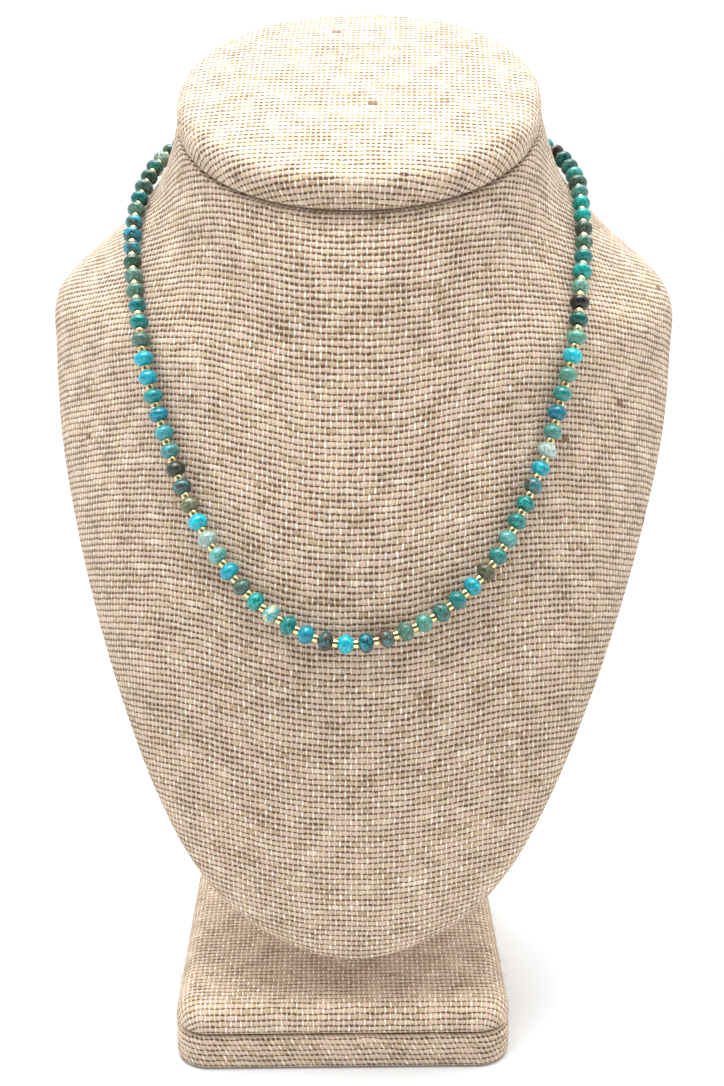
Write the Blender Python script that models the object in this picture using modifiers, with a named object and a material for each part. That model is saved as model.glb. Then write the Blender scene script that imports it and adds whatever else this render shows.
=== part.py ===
"""Beaded necklace on a cloth-covered neck bust.

The bust is one lofted form with a padded cap let into the top of its neck. A short post holds it
over a base of two wrapped layers. The necklace lies on the cloth all the way round: stone beads
with a small metal spacer between each pair, in two strings that meet at the front and end at a
barrel clasp at the nape. Metres, +Z up, the chest faces -Y, the origin is under the middle.
"""
import math

import bmesh
import bpy
from mathutils import Matrix, Vector
from mathutils.bvhtree import BVHTree

# Gap that is kept between pieces that touch on the real thing
SEAT_GAP = 0.0003

# Base: a wrapped board with a wrapped pad on it, set a little off the middle and turned a little
BASE_WIDTH = 0.074
BASE_DEPTH = 0.090
BOARD_THICK = 0.0082
PAD_THICK = 0.0065
PAD_INSET = 0.0004
BASE_CORNER = 0.0075
PAD_EDGE = 0.0042
BOARD_EDGE = 0.0014
BASE_SIDE_SHIFT = -0.0040
BASE_BACK_SHIFT = 0.0012
BASE_TURN = math.radians(3.2)
CORNER_STEPS = 5
EDGE_STEPS = 3

# Bust: its own overall sizes, which the sections below take their shares of
SHOULDER_WIDTH = 0.1410
CHEST_REACH = 0.0470
BACK_REACH = 0.0505
BUST_RISE = 0.1920
TIP_CLEARANCE = 0.0110

# Sections of the bust from the rim of the neck down to the tip. Each is an oval in a plane that
# slopes from the front down-hill to the back up-hill. Shares: front and back places in depth are
# of CHEST_REACH and BACK_REACH, heights are of BUST_RISE above the tip, widths are of
# SHOULDER_WIDTH. Side is how far from front to back the widest point is. Full is the roundness
# of each half: 2 is an ellipse, less is more pointed, more is squarer.
# columns: front, front_height, back, back_height, width, side, front_full, back_full
BUST_SECTIONS = (
    (-0.553, 0.816, 0.725, 1.000, 0.552, 0.52, 2.10, 2.15),
    (-0.649, 0.784, 0.863, 0.953, 0.583, 0.56, 1.95, 2.20),
    (-0.723, 0.742, 0.951, 0.891, 0.648, 0.59, 1.75, 2.30),
    (-0.775, 0.698, 0.990, 0.823, 0.795, 0.62, 1.60, 2.40),
    (-0.820, 0.646, 1.000, 0.750, 0.985, 0.64, 1.52, 2.50),
    (-0.880, 0.583, 0.980, 0.667, 1.000, 0.64, 1.50, 2.60),
    (-0.940, 0.510, 0.882, 0.573, 0.972, 0.60, 1.55, 2.60),
    (-0.980, 0.427, 0.686, 0.474, 0.900, 0.54, 1.65, 2.60),
    (-1.000, 0.344, 0.451, 0.375, 0.811, 0.48, 1.80, 2.50),
    (-0.996, 0.260, 0.176, 0.281, 0.712, 0.42, 1.90, 2.40),
    (-0.979, 0.177, -0.098, 0.188, 0.604, 0.36, 2.00, 2.30),
    (-0.957, 0.104, -0.333, 0.109, 0.493, 0.34, 2.00, 2.20),
    (-0.936, 0.047, -0.500, 0.049, 0.359, 0.36, 2.00, 2.10),
    (-0.915, 0.010, -0.610, 0.010, 0.190, 0.40, 2.00, 2.00),
    (-0.885, 0.000, -0.660, 0.000, 0.078, 0.50, 2.00, 2.00),
)
BUST_COLUMNS = 32
ROWS_PER_SECTION = 3
FINE_COLUMNS = 96
FINE_ROWS = 8

# Padded cap in the top of the neck
CAP_THICK = 0.0070
CAP_EDGE = 0.0040
CAP_CROWN = 0.0012
CAP_INSET = 0.0005
CAP_EDGE_STEPS = 4

# Post between the back of the chest and the base
POST_WIDTH = 0.030
POST_DEPTH = 0.014
POST_CORNER = 0.004
POST_PLACE = 0.012
POST_COLUMNS = 8
POST_ROWS = 4

# Necklace
BEAD_DIAMETER = 0.0040
BEAD_LENGTH = 0.0028
# columns: place along the bead as a share of its length, share of its radius
BEAD_SHAPE = ((0.0, 0.56), (0.24, 0.96), (0.76, 0.96), (1.0, 0.56))
SPACER_DIAMETER = 0.0018
SPACER_LENGTH = 0.00126
CLASP_DIAMETER = 0.0036
CLASP_LENGTH = 0.0090
BEAD_SIDES = 10
LAY_GAP = 0.0004

# The two strings meet this far to the wearer's left of the route's middle
FRONT_SHIFT = 0.0022

# Route of the string over the cloth: the angle round the neck from the front, in degrees, positive
# on the wearer's left, and the height on the cloth above the bust's tip, as a share of BUST_RISE.
# The angle turns about an upright axis behind the bust's middle. Chosen by hand.
ROUTE_AXIS_BACK = 0.008
ROUTE = (
    (-180.0, 0.909),
    (-150.0, 0.904),
    (-122.0, 0.874),
    (-106.0, 0.847),
    (-93.0, 0.812),
    (-82.0, 0.777),
    (-70.0, 0.733),
    (-59.5, 0.684),
    (-50.5, 0.607),
    (-40.5, 0.537),
    (-29.5, 0.474),
    (-16.0, 0.418),
    (-1.0, 0.392),
    (15.0, 0.410),
    (29.5, 0.457),
    (40.5, 0.520),
    (50.0, 0.583),
    (58.5, 0.664),
    (68.5, 0.725),
    (81.0, 0.777),
    (93.0, 0.816),
    (106.0, 0.843),
    (122.0, 0.869),
    (150.0, 0.898),
    (180.0, 0.909),
)
ROUTE_STEPS = 12

COLOURS = {
    "burlap": ((0.62, 0.49, 0.36, 1.0), 0.95, 0.0),
    "stone": ((0.05, 0.42, 0.45, 1.0), 0.35, 0.0),
    "gold": ((0.85, 0.68, 0.35, 1.0), 0.25, 1.0),
}


def clear_scene():
    for item in list(bpy.data.objects):
        bpy.data.objects.remove(item, do_unlink=True)


def make_material(piece, look):
    """A material of its own for one piece, with one of the looks above."""
    colour, roughness, metallic = COLOURS[look]
    material = bpy.data.materials.new(piece + "_" + look)
    material.use_nodes = True
    shader = material.node_tree.nodes["Principled BSDF"]
    shader.inputs["Base Color"].default_value = colour
    shader.inputs["Roughness"].default_value = roughness
    shader.inputs["Metallic"].default_value = metallic
    return material


def add_piece(name, mesh, look, collection, smooth_angle=math.radians(40)):
    mesh.shade_smooth()
    mesh.set_sharp_from_angle(angle=smooth_angle)
    mesh.materials.append(make_material(name, look))
    piece = bpy.data.objects.new(name, mesh)
    collection.objects.link(piece)
    return piece


def catmull_rom(values, place):
    """Value at a fractional place along a row of numbers or vectors."""
    last = len(values) - 1
    index = min(int(place), last - 1)
    t = place - index
    before = values[max(index - 1, 0)]
    start = values[index]
    end = values[index + 1]
    after = values[min(index + 2, last)]
    curve = (start * 2 + (end - before) * t
             + (before * 2 - start * 5 + end * 4 - after) * t ** 2
             + (start * 3 - before - end * 3 + after) * t ** 3)
    return curve * 0.5


def loft(rings):
    """Closed mesh through rings of equal count, with a flat face on each end."""
    shape = bmesh.new()
    rows = [[shape.verts.new(point) for point in ring] for ring in rings]
    count = len(rings[0])
    for upper, lower in zip(rows, rows[1:]):
        for i in range(count):
            j = (i + 1) % count
            shape.faces.new((upper[i], lower[i], lower[j], upper[j]))
    shape.faces.new(rows[0])
    shape.faces.new(list(reversed(rows[-1])))
    bmesh.ops.recalc_face_normals(shape, faces=shape.faces)
    mesh = bpy.data.meshes.new("loft")
    shape.to_mesh(mesh)
    shape.free()
    return mesh


def bust_tip_height():
    return BOARD_THICK + SEAT_GAP + PAD_THICK + TIP_CLEARANCE


def bust_section(place):
    """The eight columns of the bust's table at a fractional place down it."""
    columns = zip(*BUST_SECTIONS)
    return [catmull_rom(column, place) for column in columns]


def section_point(section, angle):
    """Point of a section at an angle from the front, 0 to 360 degrees, counter-clockwise."""
    front, front_height, back, back_height, width, side, front_full, back_full = section
    along = math.cos(angle)
    across = math.sin(angle)
    full = front_full if along > 0 else back_full
    power = 2.0 / full
    half_width = SHOULDER_WIDTH * width / 2
    x = half_width * math.copysign(abs(across) ** power, across)
    if along > 0:
        share = side * (1 - along ** power)
    else:
        share = side + (1 - side) * abs(along) ** power
    front_y = CHEST_REACH * front
    back_y = BACK_REACH * back if back > 0 else CHEST_REACH * back
    rise = front_height + (back_height - front_height) * share
    return Vector((x, front_y + (back_y - front_y) * share, bust_tip_height() + BUST_RISE * rise))


def bust_rings(columns, rows_per_section):
    steps = (len(BUST_SECTIONS) - 1) * rows_per_section
    rings = []
    for row in range(steps + 1):
        section = bust_section(row / rows_per_section)
        rings.append([section_point(section, math.tau * i / columns) for i in range(columns)])
    return rings


def make_neck_bust(collection):
    mesh = loft(bust_rings(BUST_COLUMNS, ROWS_PER_SECTION))
    return add_piece("neck_bust", mesh, "burlap", collection)


def rim_frame():
    """Middle of the neck's rim, and its side, back and up directions."""
    section = bust_section(0)
    front = section_point(section, 0)
    back = section_point(section, math.pi)
    backward = (back - front).normalized()
    sideways = Vector((1, 0, 0))
    upward = sideways.cross(backward)
    return (front + back) / 2, sideways, backward, upward


def make_neck_cap(collection):
    """The rim's outline, rounded over its top edge and crowned a little."""
    middle, sideways, backward, upward = rim_frame()
    section = bust_section(0)
    outline = [section_point(section, math.tau * i / BUST_COLUMNS) for i in range(BUST_COLUMNS)]
    profile = [(CAP_INSET + CAP_EDGE / 4, SEAT_GAP), (CAP_INSET, SEAT_GAP + CAP_EDGE / 4)]
    for step in range(CAP_EDGE_STEPS + 1):
        turn = math.radians(90) * step / CAP_EDGE_STEPS
        inset = CAP_INSET + CAP_EDGE * (1 - math.cos(turn))
        height = SEAT_GAP + CAP_THICK - CAP_EDGE * (1 - math.sin(turn))
        profile.append((inset, height))
    top_inset, top_height = profile[-1]
    half_width = (outline[0] - middle).length
    for share in (0.45, 0.8):
        inset = top_inset + (half_width - top_inset) * share
        profile.append((inset, top_height + CAP_CROWN * math.sin(share * math.pi / 2)))
    rings = []
    for inset, height in profile:
        ring = []
        for point in outline:
            arm = point - middle
            ring.append(middle + arm * (1 - inset / arm.length) + upward * height)
        rings.append(ring)
    return add_piece("neck_cap", loft(list(reversed(rings))), "burlap", collection)


def rounded_slab(name, width, depth, low, high, top_edge, bottom_edge, collection):
    """A box with round corners and softened top and bottom edges, turned as the base is."""
    shape = bmesh.new()
    bmesh.ops.create_cube(shape, size=1)
    bmesh.ops.scale(shape, vec=(width, depth, high - low), verts=shape.verts)
    bmesh.ops.translate(shape, vec=(0, 0, (high + low) / 2), verts=shape.verts)
    upright = [edge for edge in shape.edges
               if abs(edge.verts[0].co.z - edge.verts[1].co.z) > (high - low) / 2]
    bmesh.ops.bevel(shape, geom=upright, offset=BASE_CORNER, segments=CORNER_STEPS,
                    profile=0.5, affect="EDGES")
    for level, size in ((high, top_edge), (low, bottom_edge)):
        rim = [edge for edge in shape.edges
               if all(abs(vert.co.z - level) < size / 100 for vert in edge.verts)]
        bmesh.ops.bevel(shape, geom=rim, offset=size, segments=EDGE_STEPS,
                        profile=0.5, affect="EDGES")
    mesh = bpy.data.meshes.new(name)
    shape.to_mesh(mesh)
    shape.free()
    mesh.transform(base_place())
    return add_piece(name, mesh, "burlap", collection)


def base_place():
    shift = Matrix.Translation((BASE_SIDE_SHIFT, BASE_BACK_SHIFT, 0))
    return shift @ Matrix.Rotation(BASE_TURN, 4, "Z")


def make_base(collection):
    rounded_slab("base_board", BASE_WIDTH, BASE_DEPTH, 0, BOARD_THICK,
                 BOARD_EDGE, BOARD_EDGE, collection)
    low = BOARD_THICK + SEAT_GAP
    rounded_slab("base_pad", BASE_WIDTH - 2 * PAD_INSET, BASE_DEPTH - 2 * PAD_INSET,
                 low, low + PAD_THICK, PAD_EDGE, BOARD_EDGE, collection)


def make_support_post(bust_tree, collection):
    """A prism whose top follows the slope of the chest's back."""
    floor = BOARD_THICK + SEAT_GAP + PAD_THICK + SEAT_GAP
    shape = bmesh.new()
    grid = []
    for row in range(POST_ROWS + 1):
        line = []
        for column in range(POST_COLUMNS + 1):
            x = POST_WIDTH * (column / POST_COLUMNS - 0.5)
            y = POST_DEPTH * (row / POST_ROWS - 0.5)
            x, y = round_corner(x, y)
            y += POST_PLACE
            hit = bust_tree.ray_cast(Vector((x, y, floor)), Vector((0, 0, 1)))[0]
            line.append((x, y, hit.z - 2 * SEAT_GAP))
        grid.append(line)
    tops = [[shape.verts.new(point) for point in line] for line in grid]
    feet = [[shape.verts.new((point[0], point[1], floor)) for point in line] for line in grid]
    for level in (tops, feet):
        for row in range(POST_ROWS):
            for column in range(POST_COLUMNS):
                corners = (level[row][column], level[row][column + 1],
                           level[row + 1][column + 1], level[row + 1][column])
                shape.faces.new(corners)
    around = rim_of_grid(POST_ROWS, POST_COLUMNS)
    for (row_a, column_a), (row_b, column_b) in zip(around, around[1:] + around[:1]):
        shape.faces.new((feet[row_a][column_a], feet[row_b][column_b],
                         tops[row_b][column_b], tops[row_a][column_a]))
    bmesh.ops.recalc_face_normals(shape, faces=shape.faces)
    mesh = bpy.data.meshes.new("support_post")
    shape.to_mesh(mesh)
    shape.free()
    return add_piece("support_post", mesh, "burlap", collection)


def rim_of_grid(rows, columns):
    """Places round the edge of a grid, counter-clockwise."""
    around = [(0, column) for column in range(columns)]
    around += [(row, columns) for row in range(rows)]
    around += [(rows, column) for column in range(columns, 0, -1)]
    around += [(row, 0) for row in range(rows, 0, -1)]
    return around


def round_corner(x, y):
    """Pull a point of the post's outline in at the corners."""
    over_x = abs(x) - (POST_WIDTH / 2 - POST_CORNER)
    over_y = abs(y) - (POST_DEPTH / 2 - POST_CORNER)
    if over_x <= 0 or over_y <= 0:
        return x, y
    longest = max(over_x, over_y)
    shrink = longest / math.hypot(over_x, over_y)
    x = math.copysign(POST_WIDTH / 2 - POST_CORNER + over_x * shrink, x)
    y = math.copysign(POST_DEPTH / 2 - POST_CORNER + over_y * shrink, y)
    return x, y


def route_points(tree):
    """The string's middle line, laid on the cloth all the way round from the nape."""
    steps = (len(ROUTE) - 1) * ROUTE_STEPS
    angles = [row[0] for row in ROUTE]
    heights = [row[1] for row in ROUTE]
    points = []
    for step in range(steps + 1):
        place = step / ROUTE_STEPS
        angle = math.radians(catmull_rom(angles, place))
        height = bust_tip_height() + BUST_RISE * catmull_rom(heights, place)
        outward = Vector((math.sin(angle), -math.cos(angle), 0))
        start = Vector((0, ROUTE_AXIS_BACK, height)) + outward
        hit, normal, _, _ = tree.ray_cast(start, -outward)
        points.append(hit + normal * (BEAD_DIAMETER / 2 + LAY_GAP))
    return points


def length_along(points):
    """Running length at each point of a line."""
    total = 0.0
    lengths = [0.0]
    for start, end in zip(points, points[1:]):
        total += (end - start).length
        lengths.append(total)
    return lengths


def point_at(points, lengths, target):
    """Point of a line at a running length."""
    for index in range(1, len(points)):
        if lengths[index] >= target:
            span = lengths[index] - lengths[index - 1]
            share = (target - lengths[index - 1]) / span
            return points[index - 1].lerp(points[index], share)
    return points[-1]


def make_guide(name, points, collection):
    """A curve that the string is bent along. It isn't a piece."""
    curve = bpy.data.curves.new(name, "CURVE")
    curve.dimensions = "3D"
    spline = curve.splines.new("POLY")
    spline.points.add(len(points) - 1)
    for target, point in zip(spline.points, points):
        target.co = (*point, 1)
    guide = bpy.data.objects.new(name, curve)
    guide.hide_render = True
    guide.display_type = "WIRE"
    collection.objects.link(guide)
    return guide


def string_profile(count, pitch, spacer_first):
    """Half outline of a straight string of beads and spacers by turns, as (along, radius)."""
    bead = [(along * BEAD_LENGTH, radius * BEAD_DIAMETER / 2) for along, radius in BEAD_SHAPE]
    spacer = [(0, SPACER_DIAMETER / 2), (SPACER_LENGTH, SPACER_DIAMETER / 2)]
    slack = (pitch - BEAD_LENGTH - SPACER_LENGTH) / 2
    parts = [(spacer, SPACER_LENGTH), (bead, BEAD_LENGTH)]
    if not spacer_first:
        parts.reverse()
    outline = [(0, 0)]
    for index in range(count):
        start = pitch * index
        for shape, length in parts:
            outline += [(start + along, radius) for along, radius in shape]
            start += length + slack
    end = outline[-1][0]
    outline.append((end, 0))
    return outline


def make_string(name, points, count, pitch, spacer_first, collection, guides):
    """A turned straight string of beads and spacers, bent along its stretch of the route."""
    outline = string_profile(count, pitch, spacer_first)
    mesh = bpy.data.meshes.new(name)
    vertices = [(along, 0, radius) for along, radius in outline]
    edges = [(i, i + 1) for i in range(len(vertices) - 1)]
    mesh.from_pydata(vertices, edges, [])
    straight = bpy.data.objects.new(name + "_straight", mesh)
    guides.objects.link(straight)
    screw = straight.modifiers.new("turn", "SCREW")
    screw.axis = "X"
    screw.steps = BEAD_SIDES
    screw.render_steps = BEAD_SIDES
    screw.use_merge_vertices = True
    screw.merge_threshold = 0.00001
    bend = straight.modifiers.new("bend", "CURVE")
    bend.object = make_guide(name + "_route", points, guides)
    bend.deform_axis = "POS_X"
    bpy.context.view_layer.update()
    ready = straight.evaluated_get(bpy.context.evaluated_depsgraph_get())
    bent = bpy.data.meshes.new_from_object(ready)
    bpy.data.objects.remove(straight, do_unlink=True)
    shape = bmesh.new()
    shape.from_mesh(bent)
    bmesh.ops.remove_doubles(shape, verts=shape.verts, dist=0.00001)
    bmesh.ops.recalc_face_normals(shape, faces=shape.faces)
    shape.to_mesh(bent)
    shape.free()
    return add_piece(name, bent, "stone", collection)


def stretch(points, lengths, start, end):
    """The points of a line between two running lengths, in order from start to end."""
    low, high = min(start, end), max(start, end)
    inside = [point for point, length in zip(points, lengths) if low < length < high]
    part = [point_at(points, lengths, low)] + inside + [point_at(points, lengths, high)]
    return part if start < end else list(reversed(part))


def make_necklace(tree, collection, guides):
    """Two strings from the middle of the front to the clasp, and the clasp."""
    points = route_points(tree)
    lengths = length_along(points)
    total = lengths[-1]
    front = lengths[len(points) // 2] + FRONT_SHIFT
    ends = CLASP_LENGTH / 2 + SEAT_GAP
    base_pitch = BEAD_LENGTH + SPACER_LENGTH
    halves = (("bead_string_left", front - SEAT_GAP / 2, ends, False),
              ("bead_string_right", front + SEAT_GAP / 2, total - ends, True))
    for name, start, end, spacer_first in halves:
        run = abs(end - start)
        count = int(run / base_pitch)
        pitch = run / count
        route = stretch(points, lengths, start, end)
        make_string(name, route, count, pitch, spacer_first, collection, guides)
    make_clasp(points, lengths, collection)
    return total


def make_clasp(points, lengths, collection):
    """A plain barrel in line with both ends of the string."""
    half = CLASP_LENGTH / 2
    one = point_at(points, lengths, half)
    other = point_at(points, lengths, lengths[-1] - half)
    direction = (other - one).normalized()
    radius = CLASP_DIAMETER / 2
    edge = radius / 3
    outline = ((-half, 0), (-half, radius - edge), (-half + edge, radius),
               (half - edge, radius), (half, radius - edge), (half, 0))
    mesh = bpy.data.meshes.new("clasp")
    mesh.from_pydata([(0, distance, along) for along, distance in outline],
                     [(i, i + 1) for i in range(len(outline) - 1)], [])
    shape = bmesh.new()
    shape.from_mesh(mesh)
    bmesh.ops.spin(shape, geom=shape.verts[:] + shape.edges[:], axis=(0, 0, 1), cent=(0, 0, 0),
                   steps=BEAD_SIDES + 2, angle=math.tau)
    bmesh.ops.remove_doubles(shape, verts=shape.verts, dist=0.00001)
    bmesh.ops.recalc_face_normals(shape, faces=shape.faces)
    shape.to_mesh(mesh)
    shape.free()
    turn = Vector((0, 0, 1)).rotation_difference(direction).to_matrix().to_4x4()
    mesh.transform(Matrix.Translation((one + other) / 2) @ turn)
    return add_piece("clasp", mesh, "gold", collection)


def build():
    clear_scene()
    pieces = bpy.data.collections.new("beaded_necklace_on_bust")
    guides = bpy.data.collections.new("guides")
    bpy.context.scene.collection.children.link(pieces)
    bpy.context.scene.collection.children.link(guides)
    make_neck_bust(pieces)
    make_neck_cap(pieces)
    make_base(pieces)
    fine = loft(bust_rings(FINE_COLUMNS, FINE_ROWS))
    shape = bmesh.new()
    shape.from_mesh(fine)
    tree = BVHTree.FromBMesh(shape)
    shape.free()
    bpy.data.meshes.remove(fine)
    make_support_post(tree, pieces)
    total = make_necklace(tree, pieces, guides)
    print("necklace length", round(total * 1000, 1), "mm")


build()
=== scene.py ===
# %% [markdown]
# # A beaded necklace on a cloth-covered neck bust
#
# The necklace is a single string of small turquoise rondelles with a gold spacer between each pair.
# It lies on a neck bust that is covered in burlap, and the bust stands on a base of two wrapped
# layers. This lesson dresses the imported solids: it gives the bust its cloth, thread by thread in
# the right place, and strings the real stones along the route that the solids leave for them.
#
# All sizes are in metres, +Z is up and the chest faces -Y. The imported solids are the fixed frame.

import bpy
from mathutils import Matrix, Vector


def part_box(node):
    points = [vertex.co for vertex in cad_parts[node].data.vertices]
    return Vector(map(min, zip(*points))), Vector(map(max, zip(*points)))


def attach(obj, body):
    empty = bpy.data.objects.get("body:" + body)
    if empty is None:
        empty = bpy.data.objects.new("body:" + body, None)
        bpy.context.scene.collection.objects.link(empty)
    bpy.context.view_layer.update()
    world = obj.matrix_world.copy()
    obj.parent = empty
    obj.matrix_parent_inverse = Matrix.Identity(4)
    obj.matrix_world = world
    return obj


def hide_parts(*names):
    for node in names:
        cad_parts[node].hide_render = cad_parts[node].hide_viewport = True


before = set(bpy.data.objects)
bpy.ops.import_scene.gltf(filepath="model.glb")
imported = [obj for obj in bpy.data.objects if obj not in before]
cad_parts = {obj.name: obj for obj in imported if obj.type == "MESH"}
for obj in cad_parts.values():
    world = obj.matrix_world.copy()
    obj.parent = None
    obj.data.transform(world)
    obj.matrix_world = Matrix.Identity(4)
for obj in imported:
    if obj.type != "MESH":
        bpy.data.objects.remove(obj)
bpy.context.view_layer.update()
print("solids:", ", ".join(sorted(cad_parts)))

# %% Modules
import math
import random

import bmesh
import bpy
import numpy as np
from mathutils import Matrix, Vector
from mathutils.bvhtree import BVHTree
from mathutils.geometry import barycentric_transform

MM = 0.001
BODY = "root"

# %% [markdown]
# ## Small helpers
#
# Colours are written as sRGB hex values, the way a colour picker shows them, and the shader wants
# linear light, so one function turns them. Another function adds a node to any tree, shader or
# geometry, and sets or links its inputs, which keeps the trees below readable. The last two start
# a material and put a new object in the scene.

# %% Helpers for colours, nodes, materials and objects


def srgb(code):
    """Linear red, green, blue and 1 from a hex colour."""
    parts = [int(code[i:i + 2], 16) / 255 for i in (0, 2, 4)]
    return [c / 12.92 if c <= 0.04045 else ((c + 0.055) / 1.055) ** 2.4 for c in parts] + [1.0]


def fill(tree, node, inputs):
    """Sets or links inputs. Each is a value, a socket, or a node that gives its first output."""
    for key, value in inputs.items():
        if isinstance(value, bpy.types.Node):
            value = value.outputs[0]
        if isinstance(value, bpy.types.NodeSocket):
            tree.links.new(value, node.inputs[key])
        else:
            node.inputs[key].default_value = value


def add(tree, kind, inputs=None, **settings):
    """A node of any kind, with its settings and its inputs."""
    node = tree.nodes.new(kind)
    for name, value in settings.items():
        setattr(node, name, value)
    fill(tree, node, inputs or {})
    return node


def new_material(name):
    """A material, its tree and its main shader."""
    material = bpy.data.materials.new(name)
    material.use_nodes = True
    return material, material.node_tree, material.node_tree.nodes["Principled BSDF"]


def put_in_scene(name, data):
    """A new object that holds the data."""
    thing = bpy.data.objects.new(name, data)
    bpy.context.scene.collection.objects.link(thing)
    return thing


MATH = "ShaderNodeMath"
VECTOR_MATH = "ShaderNodeVectorMath"
COMBINE = "ShaderNodeCombineXYZ"
NOISE = "ShaderNodeTexNoise"
MIX = "ShaderNodeMix"
RANGE = "ShaderNodeMapRange"

# %% [markdown]
# ## The camera
#
# The picture looks down a little on the chest, from a hand's breadth over an arm's length away.
# The lens and the place were worked out from the even spacing of the stones along the string and
# from the sides of the base, which meet at the horizon. It comes first, because the shapes are
# checked through it.

# %% Camera
CAMERA_PLACE = (0.0139, -0.3247, 0.2040)
CAMERA_PITCH = 73.5
CAMERA_YAW = 2.3
LENS = 49.4

camera_data = bpy.data.cameras.new("camera")
camera_data.lens = LENS
camera_data.sensor_width = 36
camera_data.clip_start = 0.01
camera_data.clip_end = 20
camera = put_in_scene("camera", camera_data)
camera.location = CAMERA_PLACE
camera.rotation_euler = [math.radians(a) for a in (CAMERA_PITCH, 0, CAMERA_YAW)]
bpy.context.scene.camera = camera
print("camera", round(camera.location.length, 3), "m from the base")

# %% [markdown]
# ## The form of the bust
#
# The real form is a block of foam with a tight cloth cover. A subdivided copy of the coarse solid
# would shrink and round its rim, so the cloth is lofted afresh through the sections that the solid
# has: ovals in planes that slope from the front, down-hill, to the back, up-hill. Each row of the
# table is a section, as shares of the sizes above it, and numpy works out all the points at once.

# %% Sizes and sections of the bust
SHOULDER_WIDTH = 0.1410
CHEST_REACH = 0.0470
BACK_REACH = 0.0505
BUST_RISE = 0.1920
TIP_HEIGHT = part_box("neck_bust")[0].z

# columns: front, front_height, back, back_height, width, side, front_full, back_full
BUST_SECTIONS = np.array((
    (-0.553, 0.816, 0.725, 1.000, 0.552, 0.52, 2.10, 2.15),
    (-0.649, 0.784, 0.863, 0.953, 0.583, 0.56, 1.95, 2.20),
    (-0.723, 0.742, 0.951, 0.891, 0.648, 0.59, 1.75, 2.30),
    (-0.775, 0.698, 0.990, 0.823, 0.795, 0.62, 1.60, 2.40),
    (-0.820, 0.646, 1.000, 0.750, 0.985, 0.64, 1.52, 2.50),
    (-0.880, 0.583, 0.980, 0.667, 1.000, 0.64, 1.50, 2.60),
    (-0.940, 0.510, 0.882, 0.573, 0.972, 0.60, 1.55, 2.60),
    (-0.980, 0.427, 0.686, 0.474, 0.900, 0.54, 1.65, 2.60),
    (-1.000, 0.344, 0.451, 0.375, 0.811, 0.48, 1.80, 2.50),
    (-0.996, 0.260, 0.176, 0.281, 0.712, 0.42, 1.90, 2.40),
    (-0.979, 0.177, -0.098, 0.188, 0.604, 0.36, 2.00, 2.30),
    (-0.957, 0.104, -0.333, 0.109, 0.493, 0.34, 2.00, 2.20),
    (-0.936, 0.047, -0.500, 0.049, 0.359, 0.36, 2.00, 2.10),
    (-0.915, 0.010, -0.610, 0.010, 0.190, 0.40, 2.00, 2.00),
    (-0.885, 0.000, -0.660, 0.000, 0.078, 0.50, 2.00, 2.00),
))
LAST_SECTION = len(BUST_SECTIONS) - 1
CHECK_ROWS = 43
CHECK_COLUMNS = 32


def catmull_rom(rows, places):
    """Smooth values at fractional places down a table. Places before its start run straight on."""
    rows = np.asarray(rows, float)
    places = np.asarray(places, float)
    index = np.clip(places.astype(int), 0, len(rows) - 2)
    t = (places - index).reshape(-1, *[1] * (rows.ndim - 1))
    before = rows[np.maximum(index - 1, 0)]
    start = rows[index]
    end = rows[index + 1]
    after = rows[np.minimum(index + 2, len(rows) - 1)]
    curve = (2 * start + (end - before) * t + (2 * before - 5 * start + 4 * end - after) * t ** 2
             + (3 * start - before - 3 * end + after) * t ** 3) / 2
    straight = start + (end - start) * t
    return np.where(t < 0, straight, curve)


def bust_points(places, angles):
    """Points of the bust, a row for each place down the table and a column for each angle.

    The angles are the same for all rows, or else there is a row of them for each place.
    """
    angles = np.atleast_2d(angles)
    columns = catmull_rom(BUST_SECTIONS, places).T[:, :, None]
    front, front_height, back, back_height, width, side, front_full, back_full = columns
    along = np.cos(angles)
    across = np.sin(angles)
    power = np.where(along > 0, 2 / front_full, 2 / back_full)
    x = SHOULDER_WIDTH * width / 2 * np.sign(across) * np.abs(across) ** power
    share = np.where(along > 0, side * (1 - np.abs(along) ** power),
                     side + (1 - side) * np.abs(along) ** power)
    front_y = CHEST_REACH * front
    back_y = np.where(back > 0, BACK_REACH, CHEST_REACH) * back
    y = front_y + (back_y - front_y) * share
    z = TIP_HEIGHT + BUST_RISE * (front_height + (back_height - front_height) * share)
    return np.stack([x, y, z], axis=-1)


check = bust_points(np.linspace(0, LAST_SECTION, CHECK_ROWS),
                    np.linspace(0, math.tau, CHECK_COLUMNS, endpoint=False))
box_low, box_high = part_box("neck_bust")
print("bust against its solid, mm:",
      np.round((check.reshape(-1, 3).min(0) - np.array(box_low)) / MM, 2),
      np.round((check.reshape(-1, 3).max(0) - np.array(box_high)) / MM, 2))

# %% [markdown]
# ## A mesh from rows of points
#
# Every cloth piece here is a skin of rows and columns. Each corner of each face gets a place in the
# cloth, in millimetres along the thread directions, in a UV map called weave. The map is kept for
# each corner and not for each vertex, so that two panels may meet at a seam.

# %% Skin builder
# where a piece faces up, its cloth is painted lighter and its weave closed
TOP_FROM = 0.55
TOP_BLEND = 0.25


def make_piece(name, mesh, material):
    """A finished piece: at the origin, smooth, riding on the one body."""
    mesh.materials.clear()
    mesh.materials.append(material)
    mesh.shade_smooth()
    piece = put_in_scene(name, mesh)
    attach(piece, BODY)
    print(name, len(mesh.polygons), "faces")
    return piece


def set_pull(piece, pull):
    """The pull for the burlap at each point: above 0 the weave opens and the colour darkens, below
    0 the weave closes and the colour lightens.
    """
    values = np.broadcast_to(pull, len(piece.data.vertices)).astype(np.float32)
    layer = piece.data.attributes.new("pull", "FLOAT", "POINT")
    layer.data.foreach_set("value", values)


def lighten_and_close_top(piece, amount):
    """Painted light: where the piece faces up its colour is lighter and its weave closed, none on
    its sides.
    """
    normals = np.array([vertex.normal for vertex in piece.data.vertices])
    set_pull(piece, -amount * np.clip((normals[:, 2] - TOP_FROM) / TOP_BLEND, 0, 1))


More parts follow.
